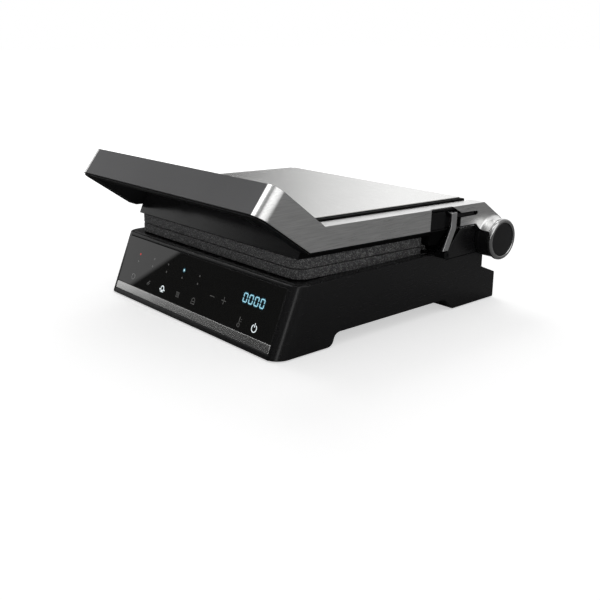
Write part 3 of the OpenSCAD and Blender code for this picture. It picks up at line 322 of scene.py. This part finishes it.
def speckled(name, tone):
    """Stone-look non-stick coating: pale and dark flecks in a dark grey body."""
    f = Finish(bpy.data.materials, name)
    spot = f.place()
    pale = f.noise(spot, 560, roughness=0.7).ramp(0.53, 0.64)
    fleck = f.noise(f.place(turn=(0.7, 0.3, 0.1)), 1150, detail=1).ramp(0.60, 0.70)
    dark = f.noise(f.place(turn=(0.2, 0.9, 0.5)), 840, roughness=0.6).ramp(0.56, 0.68)
    cloud = f.noise(spot, 18, detail=3)
    body = f.shade(tone, 0.85 + cloud * 0.3)
    body = f.mix(pale * 0.75, body, grey(0.30))
    body = f.mix(fleck * 0.8, body, (0.46, 0.46, 0.45, 1))
    body = f.mix(dark * 0.75, body, grey(0.018))
    return f.surface(base_color=body, roughness=0.5 + dark * 0.12 - fleck * 0.06, specular_ior_level=0.16,
                     normal=f.bump(pale + dark * 0.5, 0.35, 0.05 * MM))


def black_glass(name, tone):
    """Polished glass over black print, with the faint film that fingers leave."""
    f = Finish(bpy.data.materials, name)
    spot = f.place()
    film = f.noise(spot, 45, detail=4).ramp(0.5, 0.75)
    wipe = f.noise(f.place((60, 600, 600), (0.1, 0.3, 0.2)), 1.0, detail=3)
    return f.surface(base_color=f.shade(tone, 0.9 + wipe * 0.2),
                     roughness=0.002 + film * 0.008 + wipe * 0.002)


def printed(name, tone, glow=0.0):
    """Ink or a lit symbol seen through the glass, a little uneven like a real print."""
    f = Finish(bpy.data.materials, name)
    dots = f.noise(f.place(), 1500)
    lit = f.shade(tone, 0.86 + dots * 0.24)
    return f.surface(base_color=lit, roughness=0.35 + dots * 0.1,
                     emission_color=lit, emission_strength=glow)


def plain(name, tone, rough=0.5, metal=0.0):
    """Finish of the pieces inside: even, with a light grain."""
    f = Finish(bpy.data.materials, name)
    grain = f.noise(f.place(), 700, detail=3)
    return f.surface(base_color=f.shade(tone, 0.88 + grain * 0.22), metallic=metal,
                     roughness=rough - 0.05 + grain * 0.1, normal=f.bump(grain, 0.15, 0.04 * MM))


MADE = {}
ALONG_WIDTH = 0
ALONG_DEPTH = 1


def finish_of(name):
    """The finish of that name, made when it is first asked for."""
    if name not in MADE:
        c = bpy.context.scene.grill_colours
        makers = {
            "housing": lambda: moulded("Moulded black", c.housing),
            "head": lambda: moulded("Head black", c.housing, rough=0.2, grain=0.12),
            "core": lambda: moulded("Core black", c.core, rough=0.5, shine=0.12),
            "rim": lambda: moulded("Rim black", grey(0.004), rough=0.6, shine=0.05),
            "cap": lambda: moulded("Cap black", c.housing, rough=0.34, grain=0.15),
            "rubber": lambda: moulded("Foot rubber", grey(0.02), rough=0.8, grain=0.5),
            "arm": lambda: brushed("Arm steel", c.steel, ALONG_DEPTH, rough=0.26, depth=0.42),
            "cover": lambda: brushed("Cover steel", c.cover, ALONG_WIDTH, rough=0.22, depth=0.16),
            "lip": lambda: satin("Arm lip", grey(0.2), rough=0.4, metal=0.9),
            "handle": lambda: satin("Handle grey", c.handle),
            "lever": lambda: satin("Lever silver", c.lever, rough=0.3, metal=1.0),
            "trim": lambda: satin("Trim silver", (0.86, 0.86, 0.85, 1), rough=0.19, metal=1.0, relief=0.01),
            "chrome": lambda: chromed("Hub chrome", c.chrome),
            "plate": lambda: speckled("Plate coating", c.plate),
            "glass": lambda: black_glass("Control glass", c.glass),
            "ink": lambda: printed("Dim print", c.dim),
            "pale ink": lambda: printed("Pale print", grey(0.42)),
            "lit": lambda: printed("Lit symbol", c.light, glow=1.0),
            "digits": lambda: printed("Lit digits", c.display, glow=1.0),
            # painted glow: a dim blue that shines round the digits and the blue light, standing in for the
            # light they spill
            "halo": lambda: printed("Digit edge", (0.0, 0.045, 0.07, 1), glow=1.0),
            "red": lambda: printed("Red light", c.red, glow=0.9),
            "blue": lambda: printed("Blue light", (0.46, 0.70, 0.76, 1), glow=1.0),
            "bare steel": lambda: plain("Bare steel", grey(0.5), rough=0.35, metal=1.0),
            "aluminium": lambda: plain("Bare aluminium", (0.7, 0.71, 0.72, 1), rough=0.4, metal=1.0),
            "heater": lambda: plain("Heated steel", (0.24, 0.2, 0.18, 1), metal=1.0),
            "brass": lambda: plain("Brass", (0.62, 0.45, 0.16, 1), rough=0.35, metal=1.0),
            "board": lambda: plain("Circuit board", (0.02, 0.13, 0.05, 1), rough=0.4),
            "relay": lambda: plain("Relay blue", (0.03, 0.08, 0.3, 1), rough=0.4),
            "fibre": lambda: plain("Fibre board", (0.7, 0.64, 0.5, 1), rough=0.9),
            "lamp": lambda: plain("Lamp body", (0.8, 0.8, 0.76, 1), rough=0.4),
        }
        MADE[name] = makers[name]()
    return MADE[name]


# ---------- modelling tools ----------

def only(obj):
    """Leaves obj as the one selected and active object."""
    bpy.ops.object.select_all(action="DESELECT")
    obj.select_set(True)
    bpy.context.view_layer.objects.active = obj


def modify(obj, kind, **settings):
    """Adds a modifier, sets it and applies it."""
    only(obj)
    bpy.ops.object.modifier_add(type=kind)
    modifier = obj.modifiers[-1]
    for key, value in settings.items():
        setattr(modifier, key, value)
    bpy.ops.object.modifier_apply(modifier=modifier.name)


def smooth(obj, angle=35):
    """Smooth shading up to an angle in degrees, with flat faces kept flat."""
    only(obj)
    bpy.ops.object.shade_smooth_by_angle(angle=math.radians(angle))
    modify(obj, "WEIGHTED_NORMAL", keep_sharp=True, weight=60)


def soften(obj, width, steps=None, clamp=False):
    """Rounds the edges that turn by more than 30 degrees."""
    steps = steps or bpy.context.scene.grill_sizes.round_steps
    modify(obj, "BEVEL", width=width, segments=steps, limit_method="ANGLE",
           angle_limit=math.radians(30), use_clamp_overlap=clamp, miter_outer="MITER_ARC")


def settle(obj, matrix):
    """Moves a piece's mesh from its own frame into the grill's frame."""
    obj.data.transform(matrix)
    obj.data.update()


def choose(obj, test):
    """In edit mode, selects the faces whose centre and normal pass a test."""
    bpy.ops.mesh.select_mode(type="FACE")
    bpy.ops.mesh.select_all(action="DESELECT")
    mesh = bmesh.from_edit_mesh(obj.data)
    for face in mesh.faces:
        face.select_set(bool(test(face.calc_center_median(), face.normal)))
    bmesh.update_edit_mesh(obj.data)


def edit(obj):
    """Enters edit mode on obj alone."""
    only(obj)
    bpy.ops.object.mode_set(mode="EDIT")


def done():
    """Leaves edit mode."""
    bpy.ops.object.mode_set(mode="OBJECT")


def fixed(name):
    """Names the object that was just added and applies its place, turn and size."""
    made = bpy.context.object
    made.name = name
    only(made)
    bpy.ops.object.transform_apply(location=True, rotation=True, scale=True)
    return made


def block(name, low, high):
    """A box from one corner to the other, given in millimetres in the piece's own frame."""
    low, high = Vector(low) * MM, Vector(high) * MM
    bpy.ops.mesh.primitive_cube_add(size=1, location=(low + high) / 2, scale=high - low)
    return fixed(name)


def slab(name, low, high, edge, matrix):
    """A box with rounded edges, moved from its own frame into the grill's."""
    made = block(name, low, high)
    soften(made, edge, 3)
    smooth(made)
    settle(made, matrix)
    return made


def disc(name, centre, radius, depth, sides):
    """A round plug about the Y axis, given in millimetres."""
    bpy.ops.mesh.primitive_cylinder_add(vertices=sides, radius=radius * MM, depth=depth * MM,
                                        location=Vector(centre) * MM, rotation=(math.pi / 2, 0, 0))
    return fixed(name)


def turned(name, profile):
    """A lathe piece about the hinge, from a closed outline of (x, radius) points in millimetres."""
    bpy.ops.mesh.primitive_circle_add(vertices=len(profile), radius=MM)
    made = bpy.context.object
    made.name = name
    for vertex, (x, radius) in zip(made.data.vertices, profile):
        vertex.co = Vector((x * MM, 0, radius * MM))
    edit(made)
    bpy.ops.mesh.select_all(action="SELECT")
    bpy.ops.mesh.spin(steps=96, angle=2 * math.pi, center=(0, 0, 0), axis=(1, 0, 0))
    bpy.ops.mesh.select_all(action="SELECT")
    bpy.ops.mesh.remove_doubles(threshold=1e-6)
    bpy.ops.mesh.normals_make_consistent(inside=False)
    done()
    made.data.transform(Matrix.Translation((0, HUB.y, HUB.z)))
    return made


def joined(name, pieces):
    """Several pieces made into one."""
    if len(pieces) == 1:
        pieces[0].name = name
        return pieces[0]
    bpy.ops.object.select_all(action="DESELECT")
    for piece in pieces:
        piece.select_set(True)
    bpy.context.view_layer.objects.active = pieces[0]
    bpy.ops.object.join()
    pieces[0].name = name
    return pieces[0]


def merged_copy(name, node):
    """A copy of a CAD node with its triangles joined into one skin."""
    made = bpy.data.objects.new(name, frame["nodes"][node].data.copy())
    bpy.context.scene.collection.objects.link(made)
    edit(made)
    bpy.ops.mesh.select_all(action="SELECT")
    bpy.ops.mesh.customdata_custom_splitnormals_clear()
    bpy.ops.mesh.remove_doubles(threshold=2e-6)
    done()
    return made


def rounded(made, width, steps=None, clamp=False):
    """Merges flat facets, then rounds and smooths the edges."""
    edit(made)
    bpy.ops.mesh.select_all(action="SELECT")
    bpy.ops.mesh.dissolve_limited(angle_limit=math.radians(0.6))
    done()
    soften(made, width, steps, clamp)
    smooth(made)
    return made


def recast(name, node, width, steps=None, clamp=False):
    """A CAD node's shape with its edges rounded."""
    return rounded(merged_copy(name, node), width, steps, clamp)


def hand_over(obj, body, slot, finish, *nodes):
    """Gives a finished piece its body and finish, and hides the CAD nodes that it stands for. The slot is
    not used.
    """
    obj.name = obj.name.replace(" ", "_")
    obj.data.materials.clear()
    obj.data.materials.append(finish_of(finish))
    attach(obj, body)
    if nodes:
        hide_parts(*nodes)
    return obj


def repaint(obj, finish, test):
    """Gives a second finish to the faces whose centre and normal pass a test."""
    obj.data.materials.append(finish_of(finish))
    for face in obj.data.polygons:
        if test(face.center, face.normal):
            face.material_index = len(obj.data.materials) - 1


def paint(finish, *nodes):
    """Gives CAD nodes that stay their finish."""
    for node in nodes:
        mesh = frame["nodes"][node].data
        mesh.materials.clear()
        mesh.materials.append(finish_of(finish))


# ---------- pieces ----------

class GRILL_OT_base(bpy.types.Operator):
    """Housing, deck, floor and feet"""
    bl_idname = "grill.base"
    bl_label = "Base"

    def execute(self, context):
        s = context.scene.grill_sizes
        housing = merged_copy("Housing", "base_housing")
        # the towers' feet reach a little into the housing, so that both become one moulding
        towers = merged_copy("Towers", "hinge_towers")
        edit(towers)
        choose(towers, lambda centre, normal: normal.z < -0.9 and abs(centre.z - TOWER_SEAT) < 0.1 * MM)
        bpy.ops.transform.translate(value=(0, 0, -MM))
        done()
        modify(housing, "BOOLEAN", operation="UNION", solver="EXACT", object=towers)
        bpy.data.objects.remove(towers)
        rounded(housing, s.moulded_edge)
        hand_over(housing, "base", "housing_black", "housing", "base_housing", "hinge_towers")
        for name, node, body, slot, finish, edge in (
                ("Deck", "top_deck", "base", "deck_black", "housing", 0.5),
                ("Floor", "bottom_cover", "base", "deck_black", "housing", 0.25),
                ("Feet", "rubber_feet", "base", "foot_rubber", "rubber", 0.3),
                ("Gland", "cord_gland", "base", "foot_rubber", "rubber", 0.3),
                ("Drip tray", "drip_tray", "drip_tray", "tray_grey", "housing", 0.4),
                ("Lower rocker", "lower_release", "lower_rocker", "rocker_grey", "cap", 0.3),
                ("Lever rest", "lever_rest", "base", "deck_black", "core", 0.4)):
            hand_over(recast(name, node, edge * MM), body, slot, finish, node)
        paint("housing", "tray_runners")
        paint("bare steel", "cover_screws", "hinge_axles", "hinge_brackets", "axle_clips",
              "lower_release_pin")
        return {"FINISHED"}


class GRILL_OT_control(bpy.types.Operator):
    """Control glass with its symbols, lights and digits, and the trim strip"""
    bl_idname = "grill.control"
    bl_label = "Control panel"

    def execute(self, context):
        s = context.scene.grill_sizes
        self.ink = s.ink / MM
        side, thick = 142, 2.2
        glass_low, glass_high = 16, 70
        strip_low, strip_high = 7, 15.6
        glass = slab("Control glass", (-side, 0, glass_low), (side, thick, glass_high), 0.35 * MM, PANEL)
        hand_over(glass, "base", "control_glass", "glass", "control_glass")
        strip = slab("Trim strip", (-side, 0, strip_low), (side, thick, strip_high), 0.5 * MM, PANEL)
        hand_over(strip, "base", "trim_silver", "trim", "trim_strip")
        self.symbols(s.symbol / MM)
        self.signs()
        self.lights()
        self.digits(s.digit_width / MM, s.digit_height / MM, s.digit_pitch / MM)
        paint("board", "control_board", "power_board")
        paint("relay", "power_relays")
        paint("core", "display_module")
        paint("lamp", "status_lights")
        paint("brass", "touch_springs")
        return {"FINISHED"}

    def bar(self, x, z, width, height, turn=0.0):
        """A flat printed bar with its middle at a place on the glass."""
        made = block("Bar", (-width / 2, -self.ink, -height / 2), (width / 2, 0, height / 2))
        made.data.transform(Matrix.Translation((x * MM, 0, z * MM)) @ Matrix.Rotation(turn, 4, "Y"))
        return made

    def ring(self, x, z, radius, line, start=0.0, end=360.0):
        """A flat printed ring, or an arc from one angle to another in degrees."""
        bpy.ops.mesh.primitive_plane_add(size=1)
        made = bpy.context.object
        # the corners of a plane come in two rows, not in the order of its outline
        corners = [(radius - line, 0), (radius, 0), (radius - line, -self.ink), (radius, -self.ink)]
        for vertex, (r, y) in zip(made.data.vertices, corners):
            vertex.co = Vector((r * MM, y * MM, 0))
        edit(made)
        bpy.ops.mesh.select_all(action="SELECT")
        bpy.ops.mesh.spin(steps=36, angle=math.radians(end - start), center=(0, 0, 0), axis=(0, 1, 0))
        bpy.ops.mesh.select_all(action="SELECT")
        if end - start >= 360:
            bpy.ops.mesh.remove_doubles(threshold=1e-7)
        bpy.ops.mesh.normals_make_consistent(inside=False)
        done()
        made.data.transform(Matrix.Translation((x * MM, 0, z * MM))
                            @ Matrix.Rotation(-math.radians(start), 4, "Y"))
        return made

    def print_on(self, name, finish, *shapes):
        """Joins printed shapes, puts them on the glass and hands them over."""
        made = joined(name, shapes)
        settle(made, PANEL)
        hand_over(made, "base", "light_white", finish)

    def symbols(self, size):
        """Five food symbols in a row. The third is lit."""
        bar, ring = self.bar, self.ring
        round_x, thin_x, loaf_x, grid_x, bread_x = -112.6, -79.7, -50.6, -20.4, 9.1
        z = 26.2
        slant = -0.75
        self.print_on("Symbol round", "pale ink", ring(round_x, z, size * 0.55, 0.9))
        self.print_on("Symbol thin", "ink",
                      bar(thin_x, z, size * 1.1, 1.3, slant),
                      bar(thin_x + 1.2, z - 1.6, size * 0.7, 0.7, slant))
        self.print_on("Symbol loaf", "lit",
                      ring(loaf_x, z, size * 0.5, 1.1),
                      *[bar(loaf_x + side * 4.2, z - 1.5, 1.7, 1.5) for side in (-1, 1)],
                      bar(loaf_x, z - 3.6, 6.0, 0.9))
        self.print_on("Symbol grid", "ink",
                      *[bar(grid_x + i * 2.1, z, 1.1, size * 0.95) for i in (-1, 0, 1)],
                      *[bar(grid_x, z + i * 2.4, size, 0.8) for i in (-1, 1)])
        self.print_on("Symbol bread", "ink",
                      ring(bread_x, z + 0.4, size * 0.5, 0.9, 0, 180),
                      bar(bread_x, z - 2.9, size * 1.05, 1.0),
                      *[bar(bread_x + side * size * 0.46, z - 1.2, 0.9, 3.2) for side in (-1, 1)],
                      bar(bread_x, z - 0.4, size * 0.6, 0.8))

    def signs(self):
        """Minus and plus, a thermometer and the lit power ring."""
        bar, ring = self.bar, self.ring
        minus_x, plus_x, z = 37.5, 57.5, 38.2
        width, line = 7.6, 0.9
        self.print_on("Minus", "ink", bar(minus_x, z, width, line))
        self.print_on("Plus", "ink", bar(plus_x, z, width, line), bar(plus_x, z, line, width))
        heat_x, mark_x = 89.3, 92.0
        self.print_on("Symbol heat", "ink",
                      ring(heat_x, 21.6, 2.3, 1.0),
                      bar(heat_x, 26.6, 1.3, 6.4),
                      *[bar(mark_x, mark_z, 1.6, 0.6) for mark_z in (27.6, 25.4)])
        power_x = 113.2
        self.print_on("Symbol power", "lit",
                      ring(power_x, 24.2, 4.1, 1.0, 120, 420),
                      bar(power_x, 27.4, 1.0, 4.2))

    def lights(self):
        """Status lights: two rows of dots above the food symbols, with a red and a glowing blue one."""
        columns = (-111, -81, -52, -21.3, 8)
        rows = (44.6, 53.0)
        small, large, glow = 1.1, 1.2, 2.4
        coloured = {(0, 1): "red", (3, 1): "blue"}
        for column, x in enumerate(columns):
            for row, z in enumerate(rows):
                tone = coloured.get((column, row), "ink" if column > 1 else "pale ink")
                if tone == "blue":
                    # a wider disc of painted glow lies round the blue light
                    self.dot("Light glow", x, z, glow, self.ink / 2, 48, "halo")
                name = "Light %d %d" % (column + 1, row + 1)
                radius = large if (column, row) in coloured else small
                self.dot(name, x, z, radius, self.ink, 24, tone)

    def dot(self, name, x, z, radius, depth, sides, finish):
        """A round printed dot on the glass."""
        made = disc(name, (x, -depth / 2, z), radius, depth, sides)
        settle(made, PANEL)
        hand_over(made, "base", "light_white", finish)

    def digits(self, width, height, pitch):
        """Four zeros, each from six bars with small gaps between them, over wider bars of painted glow in a
        darker blue.
        """
        middle_x, middle_z = 101.3, 48.9
        # edge is how much wider the bars of painted glow are than the digits' own bars
        line, edge, sunk = 1.0, 1.7, 0.02
        level, upright = width - line - 0.4, height / 2 - 1.2
        for name, thick, tone, depth in (("Digits", line, "digits", 0.0),
                                         ("Digit edges", line + edge, "halo", sunk)):
            bars = []
            for place in range(4):
                x = middle_x + (place - 1.5) * pitch
                for side in (-1, 1):
                    bars.append(self.bar(x, middle_z + side * (height - line) / 2, level, thick))
                    for end in (-1, 1):
                        bars.append(self.bar(x + side * (width - line) / 2,
                                             middle_z + end * (height / 4 - 0.1), thick, upright))
            for bar in bars:
                bar.data.transform(Matrix.Translation((0, depth * MM, 0)))
            self.print_on(name, tone, *bars)


class GRILL_OT_plates(bpy.types.Operator):
    """Both cast plates, and what heats them"""
    bl_idname = "grill.plates"
    bl_label = "Plates"

    def execute(self, context):
        s = context.scene.grill_sizes
        for side, body in (("lower", "base"), ("upper", "head")):
            made = recast(side.title() + " plate", side + "_plate", s.plate_edge, 3)
            hand_over(made, body, "plate_coating", "plate", side + "_plate")
            paint("heater", side + "_heater")
            paint("aluminium", side + "_reflector")
            paint("brass", side + "_sensor")
        paint("fibre", "insulation_board")
        return {"FINISHED"}


class GRILL_OT_arms(bpy.types.Operator):
    """Steel skins, black cores and the flares at the hinges"""
    bl_idname = "grill.arms"
    bl_label = "Arms"

    def execute(self, context):
        s = context.scene.grill_sizes
        for side, turn in (("right", 1), ("left", -1)):
            skin = recast("Arm skin " + side, "arm_skin_" + side, s.metal_edge, clamp=True)
            hand_over(skin, "lid_arms", "brushed_steel", "arm", "arm_skin_" + side)
            # painted shade: the rounding along the edge that comes down from the handle gets the black of
            # the core, a painted shadow of the head
            repaint(skin, "core", lambda centre, normal: 0.15 < abs(normal.x) < 0.97 and normal.y > 0.2
                    and normal.z > 0.3 and centre.y < EDGE_FOOT)
            # a cut through the core splits its rounded edges, so that the lip can stop there
            core = merged_copy("Arm core " + side, "arm_core_" + side)
            edit(core)
            bpy.ops.mesh.select_all(action="SELECT")
            bpy.ops.mesh.bisect(plane_co=(turn * LIP_INSIDE, 0, 0), plane_no=(1, 0, 0))
            done()
            rounded(core, 0.4 * MM)
            hand_over(core, "lid_arms", "housing_black", "core", "arm_core_" + side)
            repaint(core, "lip", lambda centre, normal: normal.z < -0.4 and normal.y < -0.4
                    and turn * centre.x > LIP_INSIDE)
        paint("bare steel", "head_pivot_pins")
        paint("brass", "hinge_bushes")
        return {"FINISHED"}


class GRILL_OT_handle(bpy.types.Operator):
    """Handle panel and the grip behind it"""
    bl_idname = "grill.handle"
    bl_label = "Handle"

    def execute(self, context):
        s = context.scene.grill_sizes
        side, thick, height = 149.8, 2, 31.2
        panel = slab("Handle panel", (-side, 0, 0), (side, thick, height), 0.6 * MM, HANDLE)
        hand_over(panel, "lid_arms", "handle_grey", "handle", "handle_panel")
        grip = recast("Handle grip", "handle_grip", s.moulded_edge)
        hand_over(grip, "lid_arms", "deck_black", "core", "handle_grip")
        paint("bare steel", "grip_screws")
        return {"FINISHED"}


class GRILL_OT_hubs(bpy.types.Operator):
    """Hub rings, caps and collars"""
    bl_idname = "grill.hubs"
    bl_label = "Hubs"

    def execute(self, context):
        # outlines as (distance from the middle of the grill, radius)
        ring = [(173, 18.2), (177.6, 18.2), (178.2, 18.5), (178.5, 19.2), (178.45, 20.6), (178.0, 21.6),
                (177.2, 22.25), (176.4, 22.5), (174.7, 22.5), (174.3, 21.4), (173.7, 21.2), (173, 21.2)]
        cap = [(173, 0.01), (173, 17.9), (176.9, 17.9), (177.4, 17.6), (177.6, 16.9), (177.75, 12),
               (177.85, 6), (177.9, 0.01)]
        collar = [(156.4, 15), (156.4, 20.5), (156.9, 21), (160.2, 21), (160.6, 20.6), (161.0, 21),
                  (172.6, 21), (173, 20.6), (173, 15)]
        collars = []
        for side, turn in (("right", 1), ("left", -1)):
            for kind, profile, slot, tone in (("ring", ring, "hub_chrome", "chrome"),
                                              ("cap", cap, "cap_black", "cap")):
                made = turned("Hub %s %s" % (kind, side), [(turn * x, r) for x, r in profile])
                smooth(made, 50)
                settle(made, LID)
                hand_over(made, "lid_arms", slot, tone, "hub_%s_%s" % (kind, side))
            collars.append(turned("Collar " + side, [(turn * x, r) for x, r in collar]))
        made = joined("Hinge collars", collars)
        smooth(made, 50)
        settle(made, LID)
        hand_over(made, "lid_arms", "housing_black", "cap", "hinge_collars")
        return {"FINISHED"}


class GRILL_OT_lever(bpy.types.Operator):
    """Release lever and its slider"""
    bl_idname = "grill.lever"
    bl_label = "Lever"

    def execute(self, context):
        lever = recast("Release lever", "release_lever", 0.6 * MM, 3)
        hand_over(lever, "lever", "lever_silver", "lever", "release_lever")
        hand_over(recast("Slider", "lever_slider", 0.5 * MM), "lever", "deck_black", "core", "lever_slider")
        return {"FINISHED"}


class GRILL_OT_head(bpy.types.Operator):
    """Floating head: housing, steel cover, and what is inside"""
    bl_idname = "grill.head"
    bl_label = "Head"

    def execute(self, context):
        s = context.scene.grill_sizes
        housing = recast("Head housing", "head_housing", 0.9 * MM, 3)
        hand_over(housing, "head", "housing_black", "head", "head_housing")
        # the sides and the margin round the steel cover are duller than the front
        margin_low = max(vertex.co.z for vertex in housing.data.vertices) - 0.02
        repaint(housing, "rim", lambda centre, normal: abs(normal.x) > 0.5
                or (normal.z > 0.6 and centre.z > margin_low))
        cover = recast("Top cover", "top_cover", s.cover_fold, 3)
        hand_over(cover, "head", "brushed_steel", "cover", "top_cover")
        hand_over(recast("Upper rocker", "upper_release", 0.3 * MM), "upper_rocker", "rocker_grey", "cap",
                  "upper_release")
        paint("bare steel", "head_screws", "upper_release_pin")
        return {"FINISHED"}


# ---------- stage ----------

class GRILL_OT_stage(bpy.types.Operator):
    """Floor, light and camera"""
    bl_idname = "grill.stage"
    bl_label = "Stage"

    def execute(self, context):
        studio = context.scene.grill_studio
        self.floor()
        self.world(context, studio.world)
        self.lamp("Key lamp", place=(-1.5, 0.7, 1.7), target=(0, 0, 0.08), size=(1.2, 1.2),
                  power=studio.key)
        self.camera(context, studio)
        context.scene.view_settings.view_transform = "Standard"
        return {"FINISHED"}

    def floor(self):
        """Wide floor that is almost white to the camera and keeps the shadow under the grill."""
        bpy.ops.mesh.primitive_plane_add(size=30)
        floor = bpy.context.object
        floor.name = "Floor"
        f = Finish(bpy.data.materials, "Floor white")
        seen = f.node("ShaderNodeLightPath", out="Is Camera Ray")
        mirrored = f.node("ShaderNodeLightPath", out="Is Glossy Ray")
        spot = f.place()
        grain = f.noise(spot, 90)
        x, y = f.axis(spot, 0), f.axis(spot, 1)
        # reflections show the floor darker, and darker still to the left of the grill
        left = (0 - x).ramp(0.15, 0.35)
        bare = (0.99 + grain * 0.02) * (1 - mirrored * (0.67 + left * 0.28))
        matt = f.node("ShaderNodeBsdfDiffuse", None, {"Color": f.shade(grey(0.86), bare)})
        # the camera sees it brighter with the distance from the grill, up to the white of the background
        far = (x * x + y * y).ramp(0.3, 3)
        glow = f.node("ShaderNodeEmission", None,
                      {"Color": grey(1.0), "Strength": seen * (0.54 + far * 0.45)})
        both = f.node("ShaderNodeAddShader", None, {0: matt, 1: glow})
        f.node("ShaderNodeOutputMaterial", None, {"Surface": both})
        floor.data.materials.append(f.data)

    def world(self, context, brightness):
        """White to the camera. Shiny surfaces see a studio with bright and dark walls."""
        world = bpy.data.worlds.new("Studio")
        context.scene.world = world
        world.cycles.sampling_method = "NONE"
        f = Finish(world)
        way = f.node("ShaderNodeTexCoord", out="Generated")
        x, y, z = (f.axis(way, i) for i in range(3))
        camera = f.node("ShaderNodeLightPath", out="Is Camera Ray")
        glossy = f.node("ShaderNodeLightPath", out="Is Glossy Ray")

        # turn is in degrees from the front, with the right at 90 and the left at -90
        turn = x.angle(0 - y)
        left = (turn < 0) * (turn > -125)
        # the front end of the wall at the left leans forward as it rises
        slope = y / (x - 0.0001) - z * 0.5315
        left_wall = (left * (1 - slope.ramp(0.548, 0.556)) * turn.ramp(-116, -96)
                     * (1 - z.ramp(0.36, 0.58) * 0.7))
        front_card = turn.between((-62, -56), (-14, -9)) * z.ramp(0.46, 0.54)
        front_wall = turn.between((-11, -8), (36, 44)) * z.ramp(0.2, 0.3)
        right_card = turn.between((40, 50), (116, 122)) * (z - 0.53 + turn * 0.0046).ramp(0, 0.05)
        corner_card = turn.between((32, 35), (44, 47)) * z.between((0.06, 0.12), (0.3, 0.36))
        back_left = (0 - turn).ramp(125.5, 132) * 0.55 + (0 - turn).ramp(131, 138) * 0.5
        back_right = turn.ramp(108, 120)
        ceiling = z.ramp(0.84, 0.9)
        # the cards and walls stand in a room that is almost dark
        studio = 0.035
        for part, strength in ((left_wall, 0.85), (front_card, 2.5), (front_wall, 0.16), (right_card, 1.4),
                               (corner_card, 2.4), (back_left, 1.0), (back_right, 0.35), (ceiling, 0.4)):
            studio = studio + part * strength
        # matt surfaces see a soft light that is stronger from behind
        soft = brightness * (0.86 + x * 0.1 + y * 0.45)
        level = camera + (1 - camera) * (glossy * studio + (1 - glossy) * soft)
        back = f.node("ShaderNodeBackground", None, {"Color": grey(1.0), "Strength": level})
        f.node("ShaderNodeOutputWorld", None, {"Surface": back})

    def lamp(self, name, place, target, size, power):
        """A rectangular soft lamp aimed at a point."""
        data = bpy.data.lights.new(name, "AREA")
        data.shape = "RECTANGLE"
        data.size, data.size_y = size
        data.energy = power
        lamp = bpy.data.objects.new(name, data)
        lamp.location = place
        lamp.rotation_euler = (Vector(target) - Vector(place)).to_track_quat("-Z", "Y").to_euler()
        bpy.context.scene.collection.objects.link(lamp)

    def camera(self, context, studio):
        """Camera at the photograph's angle."""
        data = bpy.data.cameras.new("Camera")
        data.lens = studio.lens
        data.sensor_width = 36
        data.clip_start, data.clip_end = 0.01, 60
        camera = bpy.data.objects.new("Camera", data)
        camera.location = EYE
        camera.rotation_euler = (math.pi / 2 - studio.pitch, 0, studio.yaw)
        context.scene.collection.objects.link(camera)
        context.scene.camera = camera


STEPS = (
    GRILL_OT_base,
    GRILL_OT_control,
    GRILL_OT_plates,
    GRILL_OT_arms,
    GRILL_OT_handle,
    GRILL_OT_hubs,
    GRILL_OT_lever,
    GRILL_OT_head,
    GRILL_OT_stage,
)


class GRILL_PT_panel(bpy.types.Panel):
    """Lists the steps that dress the grill, with its sizes and colours"""
    bl_label = "Contact Grill"
    bl_idname = "GRILL_PT_panel"
    bl_space_type = "VIEW_3D"
    bl_region_type = "UI"
    bl_category = "Grill"

    def draw(self, context):
        layout = self.layout
        for step in STEPS:
            layout.operator(step.bl_idname)
        for group in (context.scene.grill_sizes, context.scene.grill_colours, context.scene.grill_studio):
            box = layout.box()
            for key in group.bl_rna.properties.keys():
                if key not in ("rna_type", "name"):
                    box.prop(group, key)


CLASSES = (GrillSizes, GrillColours, GrillStudio, *STEPS, GRILL_PT_panel)


def register():
    """Adds the classes and their settings."""
    for cls in CLASSES:
        bpy.utils.register_class(cls)
    bpy.types.Scene.grill_sizes = PointerProperty(type=GrillSizes)
    bpy.types.Scene.grill_colours = PointerProperty(type=GrillColours)
    bpy.types.Scene.grill_studio = PointerProperty(type=GrillStudio)


def unregister():
    """Takes the classes and their settings away."""
    del bpy.types.Scene.grill_studio
    del bpy.types.Scene.grill_colours
    del bpy.types.Scene.grill_sizes
    for cls in reversed(CLASSES):
        bpy.utils.unregister_class(cls)


def main():
    """Dresses the grill step by step."""
    register()
    for step in STEPS:
        group, name = step.bl_idname.split(".")
        getattr(getattr(bpy.ops, group), name)()


if __name__ == "__main__":
    main()
